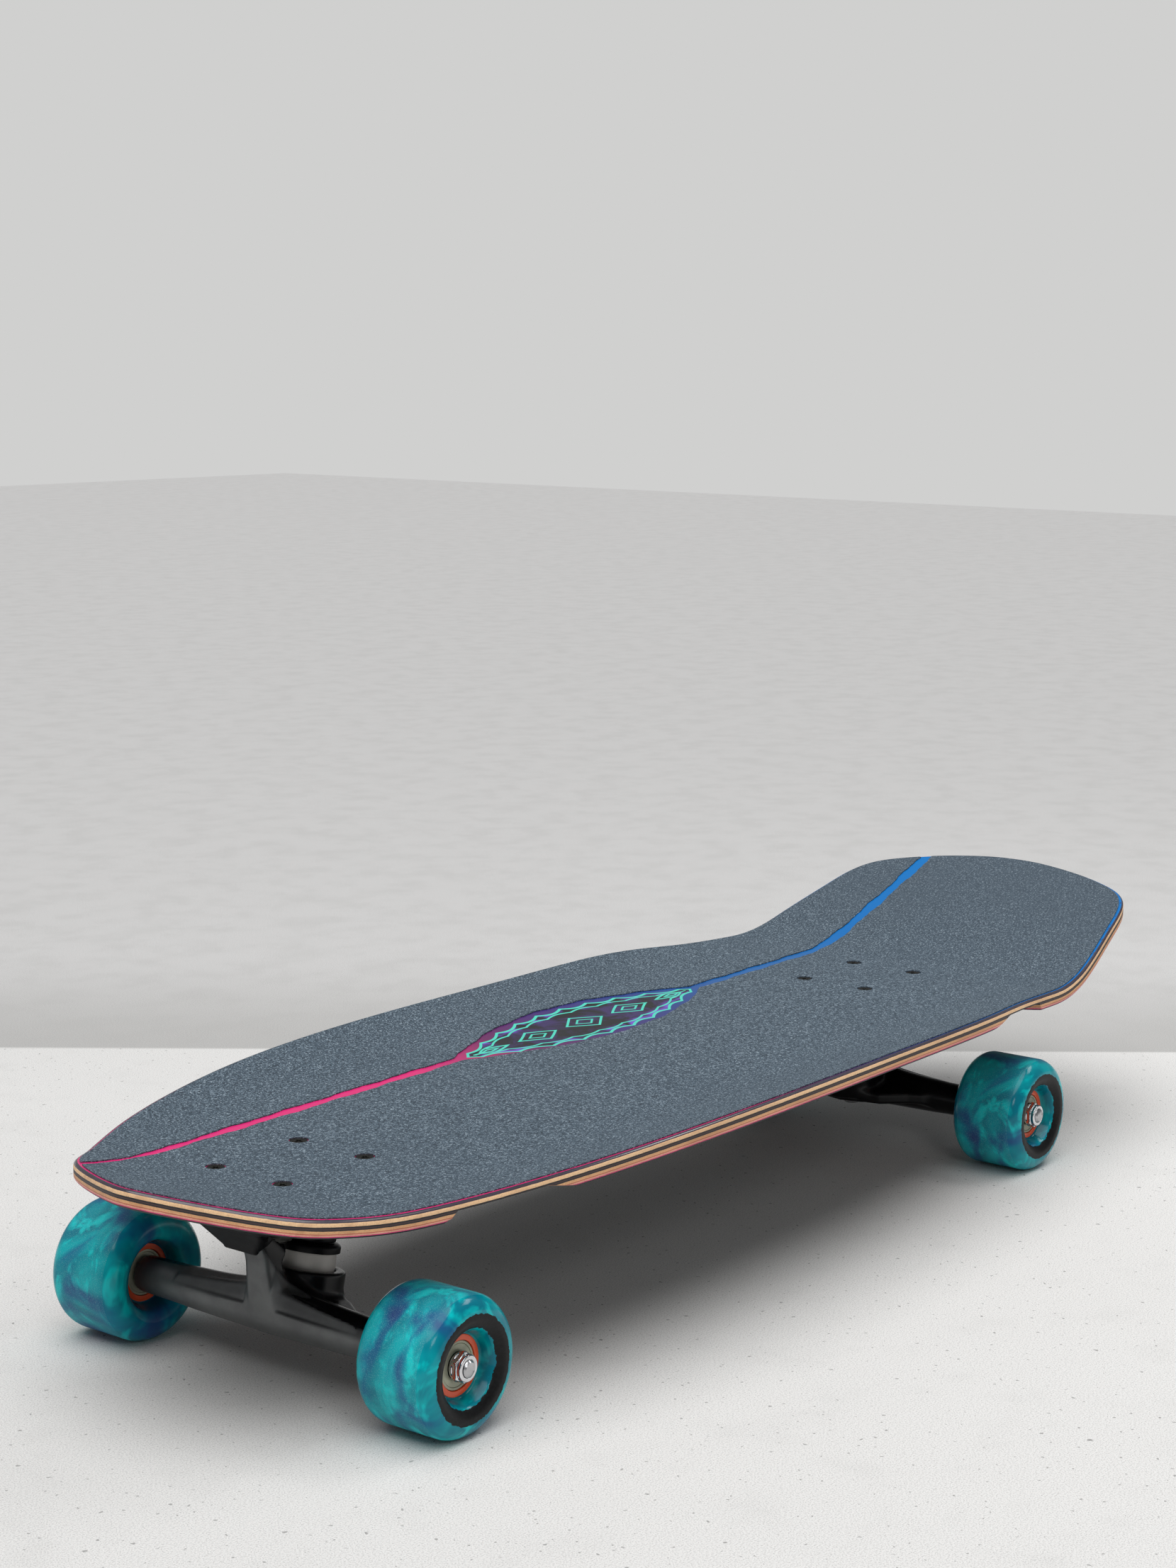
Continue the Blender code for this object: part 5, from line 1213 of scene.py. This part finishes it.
def make_floor():
    """A pale concrete floor, duller past a line behind the board, where the photo has its wall."""
    bpy.ops.mesh.primitive_plane_add(size=12)
    floor = bpy.context.object
    floor.name = "floor"
    f = Finish("pale_floor")
    blots = f.noise(26, 4, 0.6)
    grit = f.noise(1300, 2, 0.8)
    pits = f.range(f.noise(310, 1, 0.5), 0.70, 0.76)
    tone = f.mix(f.noise(2.2, 5, 0.65), srgb(226, 225, 223), srgb(236, 235, 233))
    tone = f.mix(f.range(blots, 0.5, 0.75, 0.0, 0.15), tone, srgb(196, 195, 193))
    tone = f.mix(f.times(pits, 0.6), tone, srgb(110, 109, 107))
    seam = SEAM[1] - SEAM[0]
    ahead = Vector((seam.y, -seam.x, 0)).normalized()
    place_ahead = f.node("VectorMath", {0: f.place, 1: tuple(ahead)}, 1, operation="DOT_PRODUCT")
    behind = f.minus(ahead.dot(SEAM[0]), place_ahead)
    # Past the seam the floor is coloured as the wall, darker along the wall's foot as painted shade, fading
    # over 0.3 m.
    wall = f.mix(f.range(behind, 0.0, 0.30), srgb(190, 189, 187), WALL)
    wall = f.mix(f.range(blots, 0.4, 0.7, 0.0, 0.25), wall, srgb(184, 183, 181))
    tone = f.mix(f.range(behind, 0.0, 0.006), tone, wall)
    material = f.painted(
        Base_Color=f.mix(f.range(grit, 0.42, 0.70, 0.0, 0.45), tone, srgb(128, 127, 126)),
        Roughness=0.75,
        Specular_IOR_Level=0.2,
        Normal=f.bump(grit, 0.0004, 0.1),
    )
    floor.data.materials.append(material)


def make_lamp(name, kind, strength, place, target, **settings):
    """A lamp at a place, turned towards another."""
    data = bpy.data.lights.new(name, kind)
    data.energy = strength
    for key, value in settings.items():
        setattr(data, key, value)
    turn = (Vector(place) - Vector(target)).to_track_quat("Z", "Y").to_matrix()
    new_object(name, data, Matrix.Translation(place) @ turn.to_4x4())


def make_world():
    """Faint even light, and a pale backdrop that only the camera sees."""
    world = bpy.data.worlds.new("studio")
    world.use_nodes = True
    bpy.context.scene.world = world
    nodes = world.node_tree.nodes
    link = world.node_tree.links.new
    light = nodes["Background"]
    backdrop = nodes.new("ShaderNodeBackground")
    for node, colour, strength in ((light, (0.86, 0.87, 0.88), AMBIENT), (backdrop, BACKDROP, 1.0)):
        node.inputs["Color"].default_value = (*colour, 1)
        node.inputs["Strength"].default_value = strength
    choice = nodes.new("ShaderNodeMixShader")
    link(nodes.new("ShaderNodeLightPath").outputs["Is Camera Ray"], choice.inputs[0])
    link(light.outputs[0], choice.inputs[1])
    link(backdrop.outputs[0], choice.inputs[2])
    link(choice.outputs[0], nodes["World Output"].inputs["Surface"])


bpy.context.scene.view_settings.view_transform = "Standard"
make_camera()
make_floor()
make_world()
make_lamp("sun", "SUN", 2.6, (0.25, 0.05, 1), (0, 0, 0), angle=math.radians(64))
for glint, watts, place, target, (width, height) in (
    ("edge_glint", 3.0, (-0.8, 0.44, 1.1), (0.25, 0.1, 0.09), (0.6, 0.25)),
    ("wheel_glint", 2.0, (0.95, 1.25, 0.95), (0.30, 0.12, 0.03), (0.4, 0.3)),
):
    make_lamp(glint, "AREA", watts, place, target, shape="RECTANGLE", size=width, size_y=height)

FINISHES = {
    "maple": deck_finish(),
    "grip": grip_finish(),
    "gunmetal": hanger_finish(),
    "black_paint": metal_finish("black_paint", (0.004, 0.004, 0.005), 0.34, 0.0, specular=0.12),
    "black_steel": metal_finish("black_steel", srgb(50, 50, 47), 0.42, 0.8),
    "steel": metal_finish("bright_steel", srgb(200, 200, 202), 0.28, 1.0),
    "chrome": metal_finish("chrome", srgb(225, 225, 227), 0.14, 1.0, bump=0.00002),
    "bearing_steel": metal_finish("bearing_steel", srgb(182, 182, 160), 0.42, 0.3),
    "black_rubber": plain_finish("black_rubber", (0.018, 0.018, 0.019), 0.6),
    "black_plastic": plain_finish("black_plastic", (0.02, 0.02, 0.021), 0.45),
    "white_bushing": plain_finish("white_urethane", srgb(214, 210, 204), 0.4, 0.2),
    "orange_hub": plain_finish("orange_hub", srgb(244, 84, 26), 0.35, 0.3),
    "urethane": urethane_finish(),
}

plies, ply_depths = deck_shape()
plies_mesh = mesh_of("deck_plies", plies, 40, 1e-5, ply_depths)
dress("deck", "plies", plies_mesh, "maple", "board", holes=BOLT_HOLE_RADIUS)
for tape_side in SIDES:
    make_grip(tape_side)

# The pieces of a truck that ride on the board and on the hanger, in the truck's frame
RISER_SHAPE = sculpted(riser_distance, RISER_LOW, RISER_HIGH, 0.8)
BASEPLATE_SHAPE = sculpted(baseplate_distance, (*PLATE_LOW[:2], 26), PLATE_HIGH, 0.75)
PIVOT_CUP = [(0, 7.5, 0), (7.2, 7.5, 0.5), (7.2, 0.0, 0.4), (5.7, 0.0, 0.4), (5.7, 6.0, 0.4), (0, 6.0, 0)]
NUT_COLLAR = (6.0, KINGPIN_NUT_TOP - 4.8, KINGPIN_NUT_TOP - 2.0)
KINGPIN_NUT = nut_shape(0.35, 14.3, 8.3, KINGPIN_NUT_TOP - 2.9, KINGPIN_NUT_TOP, KINGPIN_RADIUS, NUT_COLLAR)
UPPER_WASHER = ring_shape(
    (5.0, 21.0, 0.2),
    (13.0, 21.0, 1.6),
    (15.2, 19.9, 1.0),
    (15.2, 16.6, 0.4),
    (14.3, 16.6, 0.4),
    (14.1, 19.0, 0.9),
    (5.0, 19.5, 0.2),
)
LOWER_WASHER = ring_shape((5.0, -8.5, 0.2), (8.8, -8.5, 0.5), (8.8, -9.9, 0.5), (5.0, -9.9, 0.2))
BOARD_PIECES = (
    ("riser_pad", "black_rubber", mesh_in_mm("riser", RISER_SHAPE, sharp=60, weld=0)),
    ("baseplate", "black_paint", mesh_in_mm("baseplate", BASEPLATE_SHAPE, sharp=60, weld=0)),
    ("pivot_cup", "black_plastic", mesh_in_mm("pivot_cup", turned(filleted(PIVOT_CUP), SLICES), STEERING)),
    ("kingpin", "steel", mesh_in_mm("kingpin", kingpin_shape(), KINGPIN)),
    ("kingpin_nut", "steel", mesh_in_mm("kingpin_nut", KINGPIN_NUT, KINGPIN, weld=0)),
    ("upper_cup_washer", "black_paint", mesh_in_mm("upper_washer", UPPER_WASHER, KINGPIN)),
    ("lower_cup_washer", "black_paint", mesh_in_mm("lower_washer", LOWER_WASHER, KINGPIN)),
)
HANGER_PIECES = (
    ("hanger", "casting", "gunmetal", make_hanger_mesh()),
    ("axle", "bar", "steel", mesh_in_mm("axle", axle_shape(), Matrix.Rotation(math.pi / 2, 4, "X"))),
)
BOLT_MESH = mesh_in_mm("bolt", bolt_shape(), sharp=50)

# The bushings' profiles, and the heights between which they give way
BOARDSIDE = ((5.2, 17.1, 0.3), (13.6, 17.1, 1.3), (14.0, 10.8, 2.0), (13.6, 4.4, 1.3), (5.2, 4.4, 0.3))
ROADSIDE = ((5.2, -1.2, 0.3), (9.2, -1.2, 1.2), (8.3, -8.2, 1.4), (5.2, -8.2, 0.3))
BUSHINGS = (
    ("boardside_bushing", "white_bushing", BOARDSIDE, (4.4, 17.1)),
    ("roadside_bushing", "black_rubber", ROADSIDE, (-1.2, -8.2)),
)


def dress_truck(end):
    place = truck_matrix(end)
    hanger_body = f"{end}_hanger_assembly"
    for name, slot, mesh in BOARD_PIECES:
        dress(f"{end}_{name}", "dressed", mesh, slot, "board", place)
    for name, ending, slot, mesh in HANGER_PIECES:
        dress(f"{end}_{name}", ending, mesh, slot, hanger_body, place)
    for i, bolt in enumerate(bolt_places(end), 1):
        at_bolt = Matrix.Translation((bolt.x, bolt.y, place.translation.z))
        dress(f"{end}_mounting_bolt_{i}", "dressed", BOLT_MESH, "black_steel", "board", at_bolt)
    for name, slot, profile, heights in BUSHINGS:
        mesh = mesh_in_mm(f"{end}_{name}", ring_shape(*profile), KINGPIN)
        mesh.materials.append(FINISHES[slot])
        piece = new_object(f"{end}_{name}_rubber", mesh, place)
        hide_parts(f"{end}_{name}")
        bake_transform(piece)


# The pieces of a wheel, each about the middle of its node. The inner set is washers, inner rings and spacer.
TYRE_MESH = mesh_in_mm("tyre", tyre_shape())
CORE = mirrored(
    (9.5, 4.7, 0.2),
    (11.15, 4.7, 0.2),
    (11.15, 12.5, 0.3),
    (14.1, 12.5, 0.8),
    (13.1, 11.4, 0.2),
    (13.1, 3.0, 0.2),
    (15.8, 3.0, 0.2),
)
BEARING = mirrored(
    (9.2, 2.6, 0),
    (6.2, 2.6, 0.1),
    (6.2, 3.25, 0.15),
    (9.5, 3.25, 0.15),
    (9.65, 3.0, 0.05),
    (9.8, 3.5, 0.15),
    (11.0, 3.5, 0.5),
)
INNER_SET = mirrored(
    (4.1, 12.8, 0.2),
    (6.0, 12.8, 0.25),
    (6.0, 12.0, 0.2),
    (5.5, 12.0, 0.1),
    (5.5, 5.0, 0.1),
    (5.0, 5.0, 0.1),
)
CORE_MESH, BEARING_MESH, INNER_SET_MESH = (
    mesh_in_mm(name, ring_shape(*profile))
    for name, profile in (("core", CORE), ("bearing", BEARING), ("inner_set", INNER_SET))
)
AXLE_NUT = nut_shape(0.28, 12.7, 7.4, 0.6, 3.4, AXLE_RADIUS, (6.0, 1.0, 5.4), (6.9, 0.0, 1.2))
AXLE_NUT_MESH = mesh_in_mm("axle_nut", AXLE_NUT, weld=0)
AXLE_NUT_FOOT = Matrix.Translation((0, 0, -2.7 * MM))

# How far each wheel has rolled, in degrees, so that no two show the same swirls
WHEEL_TURNS = {"front_left": 0, "front_right": 140, "rear_left": 70, "rear_right": 215}


def dress_wheel(end, side):
    wheel = f"{end}_{side}"
    body = f"{wheel}_wheel"
    outward = math.copysign(1, middle_of(f"{wheel}_wheel_tyre").y)
    upright = Matrix.Rotation(-outward * math.pi / 2, 4, "X")
    rolled = Matrix.Rotation(math.radians(WHEEL_TURNS[wheel]), 4, "Z")
    hanger_body = f"{end}_hanger_assembly"
    pieces = (
        ("wheel_tyre", "urethane", TYRE_MESH, "urethane", body, upright @ rolled, None),
        ("wheel_core", "hub", CORE_MESH, "orange_hub", body, upright, None),
        ("outboard_bearing", "shielded", BEARING_MESH, "bearing_steel", body, upright, None),
        ("inboard_bearing", "shielded", BEARING_MESH, "bearing_steel", body, upright, None),
        ("bearing_inner_set", "rings", INNER_SET_MESH, "steel", hanger_body, upright, "chrome"),
        ("axle_nut", "locking", AXLE_NUT_MESH, "chrome", hanger_body, upright @ AXLE_NUT_FOOT, None),
    )
    for name, ending, mesh, slot, carrier, turn, finish in pieces:
        node = f"{wheel}_{name}"
        dress(node, ending, mesh, slot, carrier, Matrix.Translation(middle_of(node)) @ turn, finish)


for truck_end in ENDS:
    dress_truck(truck_end)
    for wheel_side in SIDES.values():
        dress_wheel(truck_end, wheel_side)
